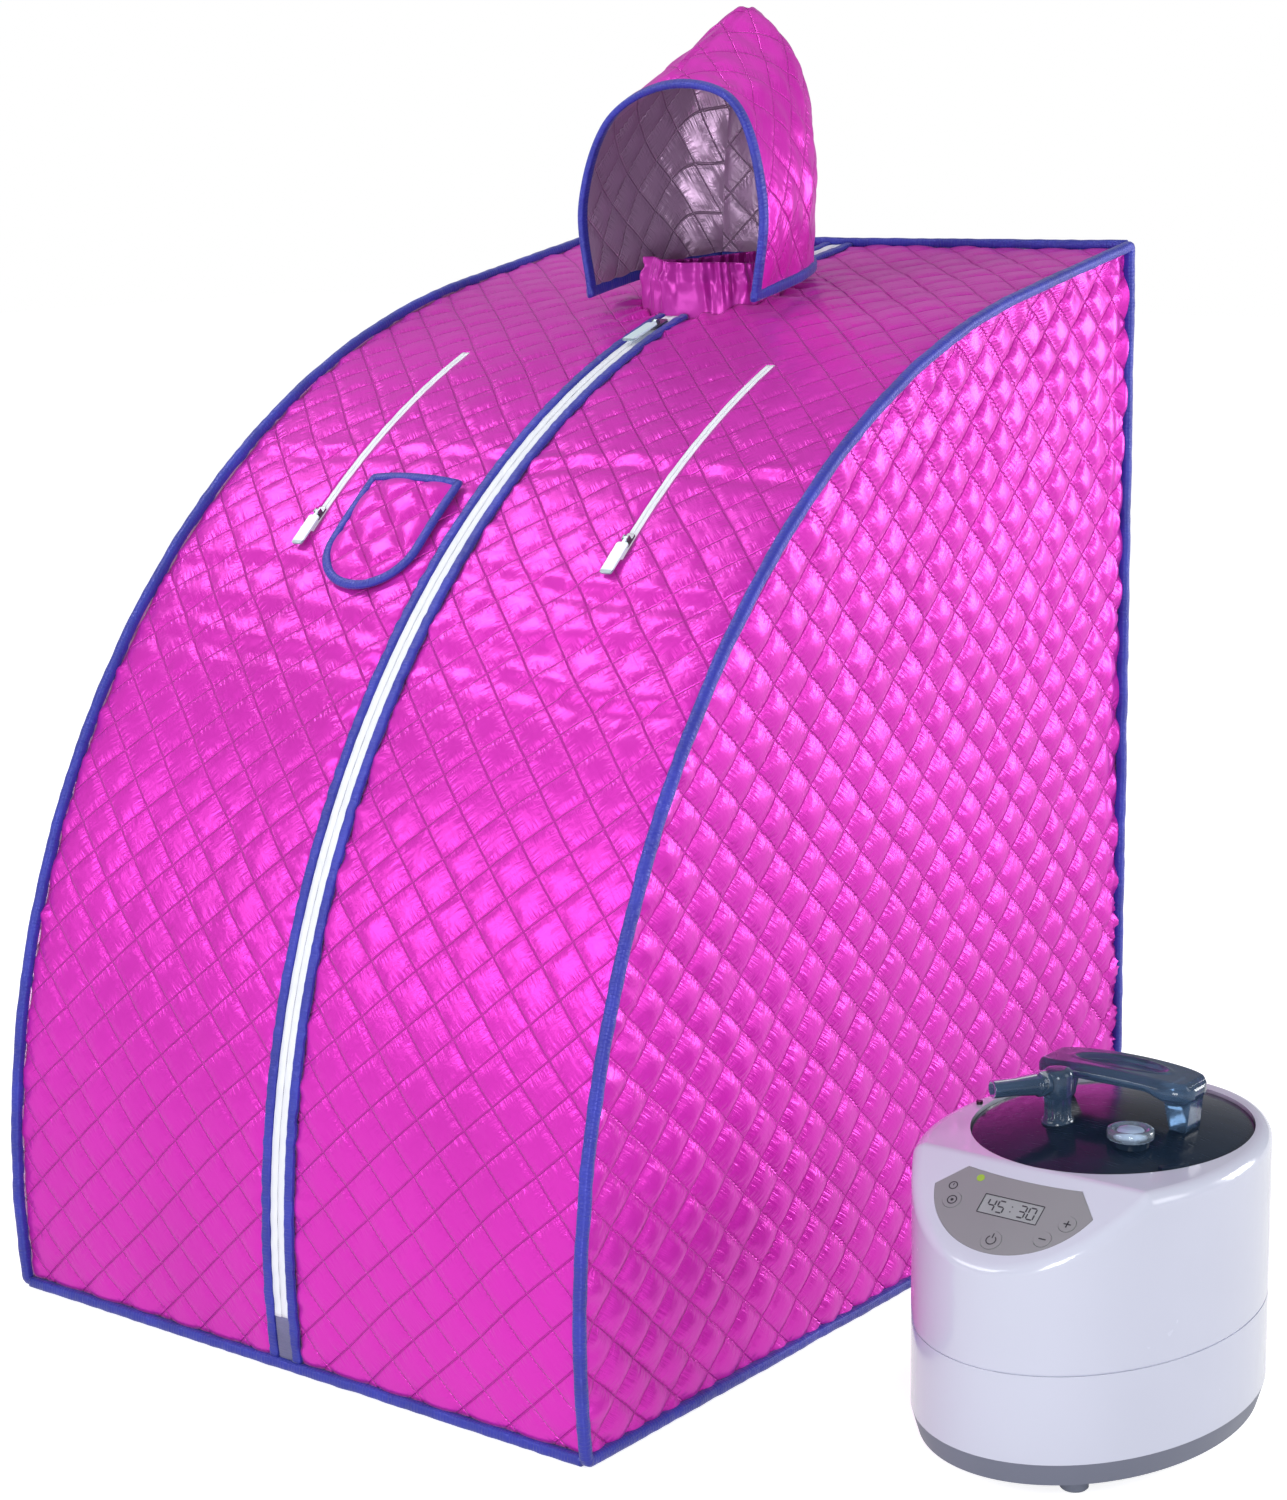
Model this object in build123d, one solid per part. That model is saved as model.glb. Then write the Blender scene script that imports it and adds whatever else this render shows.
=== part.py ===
from build123d import *
import math
import os

# Portable steam sauna: a quilted one-person steam tent on a fibreglass pole frame, with a hood, and the
# free-standing steam generator beside it. Millimetres. +Z is up, -Y is the front of the tent, +X is the side where
# the steam generator stands. The origin is on the ground, in the middle of the tent's width.

# ---------------------------------------------------------------- driving sizes of the tent
TENT_WIDTH = 700.0          # between the outer faces of the two side panels
TENT_FRONT_Y = -450.0       # where the front wall meets the ground
TENT_BACK_Y = 450.0         # outer face of the back wall
BOW_RADIUS = 851.0          # outer radius of the curved front
FOOT_ANGLE = 97.0           # direction of the front wall at the ground, from +Y towards +Z, degrees
CREST_ANGLE = 10.5          # slope of the straight roof behind the curve, degrees
QUILT = 6.0                 # thickness of a quilted panel
SEAM_PIPE = 11.0            # square of the bound seams along the edges
FLOOR_SHEET = 4.0           # thickness of the floor sheet

# ---------------------------------------------------------------- zips
ZIP_BINDING = 10.0          # width of each bound panel edge beside the centre zip
BINDING_PROUD = 1.2         # how far a bound edge stands above the quilt
TAPE_THICK = 1.2
COIL_THICK = 3.4
COIL_TOP = 0.8              # depth of the coil's top below the outer face of the quilt
NECK_SLIT = 0.9             # half the slit between the two coil rows, where the slider's neck runs
MAIN_TAPE_HALF = 9.0        # half width of the white centre zip
MAIN_COIL_HALF = 4.0
ARM_TAPE_HALF = 5.0
ARM_COIL_HALF = 2.6
ARM_X = 190.0               # centre of each arm zip from the middle
ARM_TOP_ANGLE = 23.8
ARM_FOOT_ANGLE = 43.0
ZIP_PATCH_HEIGHT = 52.0     # grey patch at the foot of the centre zip

# ---------------------------------------------------------------- zip sliders and pulls
SLIDER_PLATE = 1.8
SLIDER_GAP = 0.4            # running clearance between slider and coil
PIN_RADIUS = 1.0
PIN_CLEARANCE = 0.06        # radial, running fit of a pull on its pin
PULL_THICK = 1.8
MAIN_SLIDER_LENGTH = 24.0
MAIN_SLIDER_HALF = 7.0
MAIN_PULL_LENGTH = 50.0
MAIN_PULL_HALF = 6.5
MAIN_SLIDER_DROP = 27.0     # middle of the closed centre slider below the neck opening, along the front
ARM_SLIDER_LENGTH = 16.0
ARM_SLIDER_HALF = 4.3
ARM_PULL_LENGTH = 42.0
ARM_PULL_HALF = 6.5
ARM_SLIDER_ANGLE = 41.6

# ---------------------------------------------------------------- neck opening, collar and hood
NECK_Y = 225.0
NECK_RADIUS = 76.0
COLLAR_TOP_RADIUS = 68.0
COLLAR_WALL = 4.0
COLLAR_DROP = 32.5          # the collar's foot below the roof at the middle of the neck opening
COLLAR_WAIST = 3.5          # where it starts to taper, below the same point
COLLAR_RISE = 42.5          # its top above the same point
HOOD_FRONT_Y = 145.0
HOOD_BACK_Y = 310.0
HOOD_GAP = 11.0             # hem above the line of the straight roof
HOOD_WALL = 5.0
HOOD_BINDING = 9.0
HOOD_DRAW_ON = 40.0         # how far its form is drawn on past its open edges before they are cut
# side to side half widths and heights of the hood at five stations from front to back
HOOD_STATIONS = (
    # share of depth, half width at the hem, half width at the cheeks, ridge above the front of the hem
    (0.00, 104.0, 114.0, 209.0),
    (0.30, 104.0, 112.0, 240.0),
    (0.60, 98.0, 103.0, 269.0),
    (0.85, 80.0, 80.0, 288.0),
    (1.00, 56.0, 50.0, 272.0),
)
HOOD_TAB_HALF = 30.0
HOOD_TAB_LENGTH = 26.0

# ---------------------------------------------------------------- pocket
POCKET_X = -95.0
POCKET_HALF = 58.0
POCKET_TOP_ANGLE = 38.0
POCKET_LENGTH = 138.0
POCKET_GAP = 8.0            # room for the hand or a remote control
POCKET_QUILT = 3.0
POCKET_BINDING = 9.0

# ---------------------------------------------------------------- steam port in the back wall
PORT_SHARE = 0.6            # of the half width, from the middle
PORT_Z = 170.0
PORT_BORE = 16.0
PORT_COLLAR = 20.0
PORT_FLANGE = 32.0
PORT_FLANGE_THICK = 3.0
PORT_NOSE = 12.0

# ---------------------------------------------------------------- pole frame
ROD = 5.0                   # radius of the fibreglass rods
ROD_INSET = 9.0             # from a panel's inner face to the rod's centre line
SOCKET = 7.5                # outer radius of the sockets of the corner fittings
SOCKET_CLEARANCE = 0.3
SOCKET_LENGTH = 30.0
ROD_START = 8.0             # the rods stop this far from the middle of a fitting
FERRULE = 7.0
FERRULE_LENGTH = 60.0
FERRULE_CLEARANCE = 0.2
BOW_JOINT_ANGLES = (66.0, 34.0)

BOTTOM = (Align.CENTER, Align.CENTER, Align.MIN)

# ---------------------------------------------------------------- derived tent values
HALF = TENT_WIDTH / 2
PORT_X = PORT_SHARE * HALF
PIPE = SEAM_PIPE / 2
INNER_HALF = HALF - QUILT
FOOT = math.radians(FOOT_ANGLE)
CREST = math.radians(CREST_ANGLE)
AXIS_Y = TENT_FRONT_Y + BOW_RADIUS * math.sin(FOOT)     # centre line of the curved front
AXIS_Z = -BOW_RADIUS * math.cos(FOOT)
ZIP_EDGE = MAIN_TAPE_HALF + ZIP_BINDING
TAPE_TOP = COIL_TOP + (COIL_THICK - TAPE_THICK) / 2


def yz(y, z):
    """A point of the tent's side view."""
    return Vector(0, y, z)


def on_bow(depth, angle):
    """The point of the curved front, depth below its outer face, at an angle of slope in degrees."""
    a = math.radians(angle)
    r = BOW_RADIUS - depth
    return yz(AXIS_Y - r * math.sin(a), AXIS_Z + r * math.cos(a))


def angle_at_height(depth, z):
    """Slope angle of the curved front at a height, depth below its outer face."""
    return math.degrees(math.acos((z - AXIS_Z) / (BOW_RADIUS - depth)))


def angle_at_y(depth, y):
    return math.degrees(math.asin((AXIS_Y - y) / (BOW_RADIUS - depth)))


def on_roof(depth, y):
    """The point of the straight roof, depth below its outer face."""
    start = on_bow(depth, CREST_ANGLE)
    return yz(y, start.Z + (y - start.Y) * math.tan(CREST))


def run(depth, start_angle, end_angle=None, end_y=None):
    """The edges of the side view's outline at a depth, from a slope angle up to another, or on to the roof at end_y."""
    last = CREST_ANGLE if end_angle is None else end_angle
    middle = (start_angle + last) / 2
    edges = [Edge.make_three_point_arc(on_bow(depth, start_angle), on_bow(depth, middle), on_bow(depth, last))]
    if end_angle is None:
        edges.append(Edge.make_line(on_bow(depth, CREST_ANGLE), on_roof(depth, end_y)))
    return edges


def strip(top, bottom, half_or_range, foot_z=None, foot_angle=None, end_angle=None, end_y=None):
    """A strip of the curved front between two depths, from foot_z or foot_angle to end_angle or end_y, over x0..x1."""
    x0, x1 = half_or_range
    feet = [foot_angle if foot_angle is not None else angle_at_height(d, foot_z) for d in (top, bottom)]
    outer = run(top, feet[0], end_angle, end_y)
    inner = run(bottom, feet[1], end_angle, end_y)
    ends = [
        Edge.make_line(outer[-1] @ 1, inner[-1] @ 1),
        Edge.make_line(inner[0] @ 0, outer[0] @ 0),
    ]
    face = Face(Wire(outer + inner + ends))
    return Pos(x0, 0, 0) * extrude(face, x1 - x0, dir=(1, 0, 0))


def roof_strip(top, bottom, x_range, start_y, end_y):
    """A strip of the straight roof between two depths."""
    x0, x1 = x_range
    corners = [on_roof(top, start_y), on_roof(top, end_y), on_roof(bottom, end_y), on_roof(bottom, start_y)]
    face = Face(Wire.make_polygon(corners))
    return Pos(x0, 0, 0) * extrude(face, x1 - x0, dir=(1, 0, 0))


def block(x0, x1, y0, y1, z0, z1):
    """A box given by its corners."""
    return Pos((x0 + x1) / 2, (y0 + y1) / 2, (z0 + z1) / 2) * Box(x1 - x0, y1 - y0, z1 - z0)


def rod_between(a, b, radius):
    """A straight round bar from a to b."""
    line = Vector(*b) - Vector(*a)
    return Plane(origin=a, z_dir=line) * Cylinder(radius, line.length, align=BOTTOM)


def mirror_x(shape):
    return mirror(shape, about=Plane.YZ)


def both_sides(shape):
    return [shape, mirror_x(shape)]


def save(name, *shapes):
    """Writes one node, as one or more separate solids."""
    solids = [s for shape in shapes for s in shape.solids()]
    export_step(solids[0] if len(solids) == 1 else Compound(children=solids), f"parts/{name}.step")


def outline(inset):
    """The closed side view of the tent, drawn inset from the middle of its bound seams."""
    foot_z = PIPE + inset
    back_y = TENT_BACK_Y - inset
    edges = run(inset, angle_at_height(inset, foot_z), end_y=back_y)
    top_back = edges[-1] @ 1
    edges.append(Edge.make_line(top_back, yz(back_y, foot_z)))
    edges.append(Edge.make_line(yz(back_y, foot_z), edges[0] @ 0))
    return Face(Wire(edges))


# ================================================================ tent cover
def side_piping():
    ring = outline(-PIPE) - outline(PIPE)
    return Pos(HALF - PIPE, 0, 0) * extrude(ring, SEAM_PIPE, dir=(1, 0, 0))


def side_panel():
    return Pos(INNER_HALF, 0, 0) * extrude(outline(PIPE), QUILT, dir=(1, 0, 0))


ROOF_EDGE = on_roof(0, TENT_BACK_Y)
PIPE_SPAN = HALF - PIPE


def hem_piping():
    """Bound seams across the tent: front hem, rear hem and the rear edge of the roof."""
    front = block(-PIPE_SPAN, PIPE_SPAN, TENT_FRONT_Y - PIPE, TENT_FRONT_Y + PIPE, 0, SEAM_PIPE)
    rear = block(-PIPE_SPAN, PIPE_SPAN, TENT_BACK_Y - PIPE, TENT_BACK_Y + PIPE, 0, SEAM_PIPE)
    top = block(-PIPE_SPAN, PIPE_SPAN, TENT_BACK_Y - PIPE, TENT_BACK_Y + PIPE, ROOF_EDGE.Z - PIPE, ROOF_EDGE.Z + PIPE)
    return front, rear, top


ROOF_END_Y = TENT_BACK_Y - QUILT
NECK_CUT = Pos(0, NECK_Y, ROOF_EDGE.Z) * Cylinder(NECK_RADIUS, 400)
ARM_SLOT_RANGE = (ARM_X - ARM_TAPE_HALF, ARM_X + ARM_TAPE_HALF)


def front_panel():
    """Right half of the quilted front and roof, from the ground seam to the rear edge."""
    whole = strip(0, QUILT, (ZIP_EDGE, INNER_HALF), foot_z=SEAM_PIPE, end_y=ROOF_END_Y)
    slot = strip(-2 * QUILT, 3 * QUILT, ARM_SLOT_RANGE, foot_angle=ARM_FOOT_ANGLE, end_angle=ARM_TOP_ANGLE)
    return whole - NECK_CUT - slot


def zip_binding():
    """Bound inner edge of a front panel, beside the centre zip, in front of and behind the neck opening."""
    whole = strip(-BINDING_PROUD, QUILT, (MAIN_TAPE_HALF, ZIP_EDGE), foot_z=SEAM_PIPE, end_y=ROOF_END_Y)
    return whole - NECK_CUT


def back_panel():
    sheet = block(-INNER_HALF, INNER_HALF, TENT_BACK_Y - QUILT, TENT_BACK_Y, FLOOR_SHEET, ROOF_EDGE.Z - PIPE)
    port = Pos(PORT_X, TENT_BACK_Y, PORT_Z) * Rot(90, 0, 0) * Cylinder(PORT_COLLAR, 6 * QUILT)
    return sheet - port - hem_piping()[1]


def floor_panel():
    return block(-PIPE_SPAN, PIPE_SPAN, TENT_FRONT_Y + PIPE, TENT_BACK_Y - QUILT, 0, FLOOR_SHEET)


def steam_port():
    """Plastic grommet that the steam hose goes through, with an outer and an inner flange."""
    axis = Pos(PORT_X, TENT_BACK_Y, PORT_Z) * Rot(-90, 0, 0)
    outer = Cylinder(PORT_FLANGE, PORT_FLANGE_THICK, align=BOTTOM)
    nose = Cylinder(PORT_COLLAR, PORT_NOSE, align=BOTTOM)
    tube = Pos(0, 0, -QUILT) * Cylinder(PORT_COLLAR, QUILT, align=BOTTOM)
    inner = Pos(0, 0, -QUILT - PORT_FLANGE_THICK) * outer
    return axis * (outer + nose + tube + inner - Cylinder(PORT_BORE, 20 * QUILT))


# ================================================================ zips
def coil_and_tape(tape_half, coil_half, **ends):
    """One side's tape and coil row, right of the zip's own middle."""
    tape = strip(TAPE_TOP, TAPE_TOP + TAPE_THICK, (coil_half, tape_half), **ends)
    coil = strip(COIL_TOP, COIL_TOP + COIL_THICK, (NECK_SLIT, coil_half), **ends)
    return [tape, coil]


MAIN_ZIP_TOP_ANGLE = angle_at_y(0, NECK_Y - NECK_RADIUS) + 0.25
PATCH_TOP_ANGLE = angle_at_height(0, ZIP_PATCH_HEIGHT)


def main_zip():
    right = coil_and_tape(MAIN_TAPE_HALF, MAIN_COIL_HALF, foot_angle=PATCH_TOP_ANGLE, end_angle=MAIN_ZIP_TOP_ANGLE)
    return right + [mirror_x(s) for s in right]


REAR_ZIP_START_Y = NECK_Y + NECK_RADIUS + 2.0


def rear_zip():
    """The zip goes on behind the neck opening, along the straight roof."""
    ends = (REAR_ZIP_START_Y, ROOF_END_Y)
    tape = roof_strip(TAPE_TOP, TAPE_TOP + TAPE_THICK, (MAIN_COIL_HALF, MAIN_TAPE_HALF), *ends)
    coil = roof_strip(COIL_TOP, COIL_TOP + COIL_THICK, (NECK_SLIT, MAIN_COIL_HALF), *ends)
    return [tape, coil, mirror_x(tape), mirror_x(coil)]


def zip_patch():
    """Grey reinforcing patch that closes the foot of the centre zip."""
    across = (-MAIN_TAPE_HALF, MAIN_TAPE_HALF)
    return strip(COIL_TOP, QUILT, across, foot_z=SEAM_PIPE, end_angle=PATCH_TOP_ANGLE)


def arm_zip():
    """Zip of a hand opening, at +X."""
    half = coil_and_tape(ARM_TAPE_HALF, ARM_COIL_HALF, foot_angle=ARM_FOOT_ANGLE, end_angle=ARM_TOP_ANGLE)
    pair = half + [mirror_x(s) for s in half]
    return [Pos(ARM_X, 0, 0) * s for s in pair]


def slider_and_pull(length, half, pull_length, pull_half):
    """A zip slider and its pull, in their own frame: X across, Y up the slope, Z out of the fabric's outer face."""
    above = -COIL_TOP + SLIDER_GAP
    below = -COIL_TOP - COIL_THICK - SLIDER_GAP
    top = block(-half, half, -length / 2, length / 2, above, above + SLIDER_PLATE)
    top = fillet(top.edges().filter_by(Axis.Z), half * 0.5)
    bottom = block(-half, half, -length / 2, length / 2, below - SLIDER_PLATE, below)
    bottom = fillet(bottom.edges().filter_by(Axis.Z), half * 0.5)
    neck_half = NECK_SLIT - SLIDER_GAP
    neck = block(-neck_half, neck_half, -length / 6, length / 6, below, above)
    ear_half = 2.4
    ear_in, ear_out = 2.0, 3.2
    pin_z = above + SLIDER_PLATE + 2.4
    ear = block(ear_in, ear_out, -ear_half, ear_half, above + SLIDER_PLATE, pin_z + 1.9)
    pin = Pos(0, 0, pin_z) * Rot(0, 90, 0) * Cylinder(PIN_RADIUS, 2 * ear_out)
    slider = top + bottom + neck + ear + mirror_x(ear) + pin
    knuckle_half = ear_in - 0.25
    knuckle = Pos(0, 0, pin_z) * Rot(0, 90, 0) * Cylinder(1.9, 2 * knuckle_half)
    shank = block(-knuckle_half, knuckle_half, -6.5, 0, pin_z - PULL_THICK / 2, pin_z + PULL_THICK / 2)
    blade = block(-pull_half, pull_half, -pull_length, -5.5, pin_z - PULL_THICK / 2, pin_z + PULL_THICK / 2)
    blade = fillet(blade.edges().filter_by(Axis.Z), 2.5)
    bore = Pos(0, 0, pin_z) * Rot(0, 90, 0) * Cylinder(PIN_RADIUS + PIN_CLEARANCE, 4 * ear_out)
    return slider, knuckle + shank + blade - bore, pin_z


def on_slope(angle, x=0.0):
    """The frame of a slider that stands on the curved front."""
    p = on_bow(0, angle)
    return Pos(x, p.Y, p.Z) * Rot(angle, 0, 0)


def main_slider():
    slider, pull, pin_z = slider_and_pull(MAIN_SLIDER_LENGTH, MAIN_SLIDER_HALF, MAIN_PULL_LENGTH, MAIN_PULL_HALF)
    neck_edge = angle_at_y(0, NECK_Y - NECK_RADIUS)
    place = on_slope(neck_edge + math.degrees(MAIN_SLIDER_DROP / BOW_RADIUS))
    return place * slider, place * pull, (place * Pos(0, 0, pin_z)).position


def arm_slider(side):
    slider, pull, pin_z = slider_and_pull(ARM_SLIDER_LENGTH, ARM_SLIDER_HALF, ARM_PULL_LENGTH, ARM_PULL_HALF)
    place = on_slope(ARM_SLIDER_ANGLE, side * ARM_X)
    return place * slider, place * pull, (place * Pos(0, 0, pin_z)).position


# ================================================================ pocket
def pocket():
    """Quilted pocket, open at the top, and the bound band all round its edge."""
    middle_angle = POCKET_TOP_ANGLE + math.degrees(POCKET_LENGTH / 2 / BOW_RADIUS)
    foot_angle = POCKET_TOP_ANGLE + math.degrees(POCKET_LENGTH / BOW_RADIUS) + 1.0
    height = POCKET_GAP + POCKET_QUILT

    def shield(inset, mouth_inset):
        """The pocket's outline, straight at the mouth and round at the bottom, as a prism square to the fabric."""
        half = POCKET_HALF - inset
        top = POCKET_LENGTH / 2 - mouth_inset
        low = -POCKET_LENGTH / 2 + inset
        corner = half * 0.9
        edges = [
            Edge.make_line((-half, top, 0), (half, top, 0)),
            Edge.make_line((half, top, 0), (half, low + corner, 0)),
            Edge.make_tangent_arc((half, low + corner, 0), (0, -1, 0), (0, low, 0)),
            Edge.make_tangent_arc((0, low, 0), (-1, 0, 0), (-half, low + corner, 0)),
            Edge.make_line((-half, low + corner, 0), (-half, top, 0)),
        ]
        return on_slope(middle_angle, POCKET_X) * extrude(Face(Wire(edges)), 4 * height, both=True)

    def layer(top, bottom):
        across = (POCKET_X - POCKET_HALF - 1, POCKET_X + POCKET_HALF + 1)
        return strip(top, bottom, across, foot_angle=foot_angle, end_angle=POCKET_TOP_ANGLE - 1.0)

    body = layer(-height, 0) & shield(0, 0)
    hollow = layer(-POCKET_GAP, 0) & shield(POCKET_QUILT, -2 * POCKET_LENGTH)
    shell = body - hollow
    middle = shield(POCKET_BINDING, POCKET_BINDING)
    return shell & middle, shell - middle


# ================================================================ neck collar and hood
NECK_ROOF = on_bow(0, angle_at_y(0, NECK_Y))


def collar():
    points = [
        (NECK_RADIUS - COLLAR_WALL, -COLLAR_DROP),
        (NECK_RADIUS, -COLLAR_DROP),
        (NECK_RADIUS, -COLLAR_WAIST),
        (COLLAR_TOP_RADIUS, COLLAR_RISE),
        (COLLAR_TOP_RADIUS - COLLAR_WALL, COLLAR_RISE),
        (NECK_RADIUS - COLLAR_WALL, -COLLAR_WAIST),
    ]
    section = Face(Wire.make_polygon([Vector(r, 0, z) for r, z in points]))
    return Pos(0, NECK_Y, NECK_ROOF.Z) * revolve(section, Axis.Z, 360)


HOOD_DEPTH = HOOD_BACK_Y - HOOD_FRONT_Y
HOOD_BOTTOM_Z = on_roof(0, HOOD_FRONT_Y).Z + HOOD_GAP


def hood_form(wall):
    """The hood's outer form taken in by a wall, drawn on below its hem, and on in front when it is hollow."""
    sections = []
    for share, hem, cheek, rise in HOOD_STATIONS:
        y = HOOD_FRONT_Y + share * HOOD_DEPTH
        low = HOOD_BOTTOM_Z + share * HOOD_DEPTH * math.tan(CREST)
        ridge = HOOD_BOTTOM_Z + rise
        waist = low + (ridge - low) * 0.45
        shoulder = low + (ridge - low) * 0.84 - wall * 0.7
        if share == 1.0:
            y -= wall
        h, c, s = hem - wall, cheek - wall, cheek * 0.60 - wall * 0.7
        side = [(-h, y, low), (-c, y, waist), (-s, y, shoulder), (0, y, ridge - wall)]
        arch = Edge.make_spline(side + [(-px, py, pz) for px, py, pz in reversed(side[:-1])])
        foot = low - HOOD_DRAW_ON
        legs = Wire.make_polygon([(h, y, low), (h, y, foot), (-h, y, foot), (-h, y, low)], close=False)
        sections.append(Face(Wire([arch] + legs.edges())))
    form = loft(sections)
    return form + extrude(sections[0], HOOD_DRAW_ON, dir=(0, -1, 0)) if wall else form


def hood():
    """Quilted hood, open to the front and below, and the bound band round its face opening and hem."""
    slope = Pos(0, HOOD_FRONT_Y, HOOD_BOTTOM_Z) * Rot(CREST_ANGLE, 0, 0)
    shell = hood_form(0) - hood_form(HOOD_WALL) - slope * block(-400, 400, -200, 400, -200, 0)
    hem = slope * block(-400, 400, -100, 400, -100, HOOD_BINDING)
    face = block(-400, 400, 0, HOOD_FRONT_Y + HOOD_BINDING, HOOD_BOTTOM_Z - 150, HOOD_BOTTOM_Z + 500)
    edge = hem + face
    return shell - edge, shell & edge


def hood_tab():
    """Fabric tab, sewn to the roof, that the hood's rear hem turns on."""
    start = NECK_Y + NECK_RADIUS + 4
    return roof_strip(-2.6, -1.6, (-HOOD_TAB_HALF, HOOD_TAB_HALF), start, start + HOOD_TAB_LENGTH)


# ================================================================ pole frame
POLE_X = INNER_HALF - ROD_INSET
POLE_DEPTH = QUILT + ROD_INSET
REAR_POLE_Y = TENT_BACK_Y - QUILT - ROD_INSET
LOW_POLE_Z = FLOOR_SHEET + ROD_INSET
FRONT_HUB = on_bow(POLE_DEPTH, angle_at_height(POLE_DEPTH, LOW_POLE_Z))
BACK_HUB = yz(REAR_POLE_Y, LOW_POLE_Z)
TOP_HUB = on_roof(POLE_DEPTH, REAR_POLE_Y)
BOW_START = angle_at_height(POLE_DEPTH, LOW_POLE_Z)
LOOP_HALF = 9.0             # half width of the fabric loops that hold the rods


def at_pole(point, side=1):
    return Vector(side * POLE_X, point.Y, point.Z)


def bow_run(start_angle, end_angle=None, end_y=None):
    """Centre line of a stretch of the bow rod at +X."""
    return Pos(POLE_X, 0, 0) * Wire(run(POLE_DEPTH, start_angle, end_angle, end_y))


def swept_rod(path, radius):
    return sweep(Plane(origin=path @ 0, z_dir=path % 0) * Circle(radius), path=path)


def arc_degrees(length):
    """Slope angle taken up by a length along the bow rod."""
    return math.degrees(length / (BOW_RADIUS - POLE_DEPTH))


def bow_poles():
    """The three rods of the bow at +X, from the ground to the rear top corner, drawn without the fittings' reach."""
    low, high = BOW_JOINT_ANGLES
    lower = swept_rod(bow_run(BOW_START - arc_degrees(ROD_START), low), ROD)
    middle = swept_rod(bow_run(low - arc_degrees(0.4), high), ROD)
    end_y = REAR_POLE_Y - ROD_START * math.cos(CREST)
    upper = swept_rod(bow_run(high - arc_degrees(0.4), end_y=end_y), ROD)
    return lower, middle, upper


def bow_ferrules():
    """Metal sleeves over the two joints of the bow at +X."""
    sleeves = []
    for angle in BOW_JOINT_ANGLES:
        half = arc_degrees(FERRULE_LENGTH / 2)
        path = bow_run(angle + half, angle - half)
        sleeves.append(swept_rod(path, FERRULE) - swept_rod(path, ROD + FERRULE_CLEARANCE))
    return sleeves


def straight_poles():
    """Rear uprights, side rails and cross rails."""
    short = Vector(0, 0, ROD_START)
    upright = rod_between(at_pole(BACK_HUB) + short, at_pole(TOP_HUB) - short, ROD)
    along = Vector(0, ROD_START, 0)
    side_rail = rod_between(at_pole(FRONT_HUB) + along, at_pole(BACK_HUB) - along, ROD)
    across = Vector(ROD_START, 0, 0)
    rails = [rod_between(at_pole(h, -1) + across, at_pole(h) - across, ROD) for h in (FRONT_HUB, BACK_HUB, TOP_HUB)]
    return upright, side_rail, rails


def fitting(hub, directions):
    """Corner fitting at +X: a ball with three sockets."""
    centre = at_pole(hub)
    body = Pos(centre) * Sphere(SOCKET + 0.6)
    for d in directions:
        body += rod_between(centre, centre + d * SOCKET_LENGTH, SOCKET)
    for d in directions:
        body -= rod_between(centre + d * (ROD_START - 1), centre + d * (SOCKET_LENGTH + 1), ROD + SOCKET_CLEARANCE)
    return body


def heading(angle):
    """Unit vector up the slope of the front at an angle."""
    a = math.radians(angle)
    return Vector(0, math.cos(a), math.sin(a))


def corner_fittings():
    inward = Vector(-1, 0, 0)
    front = fitting(FRONT_HUB, [inward, Vector(0, 1, 0), heading(BOW_START - arc_degrees(SOCKET_LENGTH / 2))])
    back = fitting(BACK_HUB, [inward, Vector(0, -1, 0), Vector(0, 0, 1)])
    top = fitting(TOP_HUB, [inward, Vector(0, 0, -1), -heading(CREST_ANGLE)])
    return front, back, top


def pole_loops():
    """Fabric loops sewn inside the cover, each round a rod: on the bow, the uprights and the roof rail."""
    reach = ROD_INSET + ROD + 2.0
    loop = block(-reach, ROD_INSET, -LOOP_HALF, LOOP_HALF, -ROD - 2, ROD + 2)
    loop -= Rot(90, 0, 0) * Cylinder(ROD + 0.1, 4 * LOOP_HALF)
    found = []
    for angle in (82.0, 50.0, 18.0):
        p = on_bow(POLE_DEPTH, angle)
        found.append(Pos(POLE_X, p.Y, p.Z) * Rot(angle, 0, 0) * loop)
    for share in (0.3, 0.7):
        z = LOW_POLE_Z + share * (TOP_HUB.Z - LOW_POLE_Z)
        found.append(Pos(POLE_X, REAR_POLE_Y, z) * Rot(90, 0, 0) * loop)
    return found


# ================================================================ steam generator
STEAMER_X = 636.0
STEAMER_Y = -108.0
BODY_X = 138.0              # half width of the oval body
BODY_Y = 190.0              # half length of the oval body
SHELL = 3.0
FOOT_HEIGHT = 12.0
FOOT_RADIUS = 12.0
FOOT_X = 62.0
FOOT_Y = 135.0
SKIRT_TOP_Z = 32.0
SKIRT_LEAN = 6.0            # how far the skirt is drawn in at its foot
SEAM_Z = 110.0              # seam between the two housings
SEAM_GROOVE = 1.5
BODY_TOP_Z = 255.0
SLOPE_ANGLE = 35.0          # of the control face
SLOPE_START = -104.0        # where the control face meets the flat top, from the body's centre
EDGE_ROUND = 12.0
LID_X = 117.0               # half width of the lid's well
LID_Y = 135.0
LID_BACK = 33.0             # lid centre behind the body's centre
LID_CLEARANCE = 1.0
LID_RIM_Z = 245.0           # underside of the lid's rim
LID_RIM = 7.0
LID_DOME = 16.0
LID_WALL = 3.0
GASKET = 4.0
TANK_FLANGE = 2.0
TANK_WALL = 1.2
TANK_INSET = 10.0           # tank wall from the edge of the lid's well
TANK_BOTTOM_Z = 60.0
HEATER_X = 70.0
HEATER_Y = 80.0
HEATER_THICK = 12.0
THERMOSTAT = 9.0            # radius
THERMOSTAT_HEIGHT = 8.0
LEDGE = 3.0
HANDLE_LENGTH = 150.0
HANDLE_WIDTH = 60.0
HANDLE_TOP_Z = 310.0
HANDLE_THICK = 16.0
HANDLE_X = 4.0              # handle centre from the lid's centre
HANDLE_Y = 7.0
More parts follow.
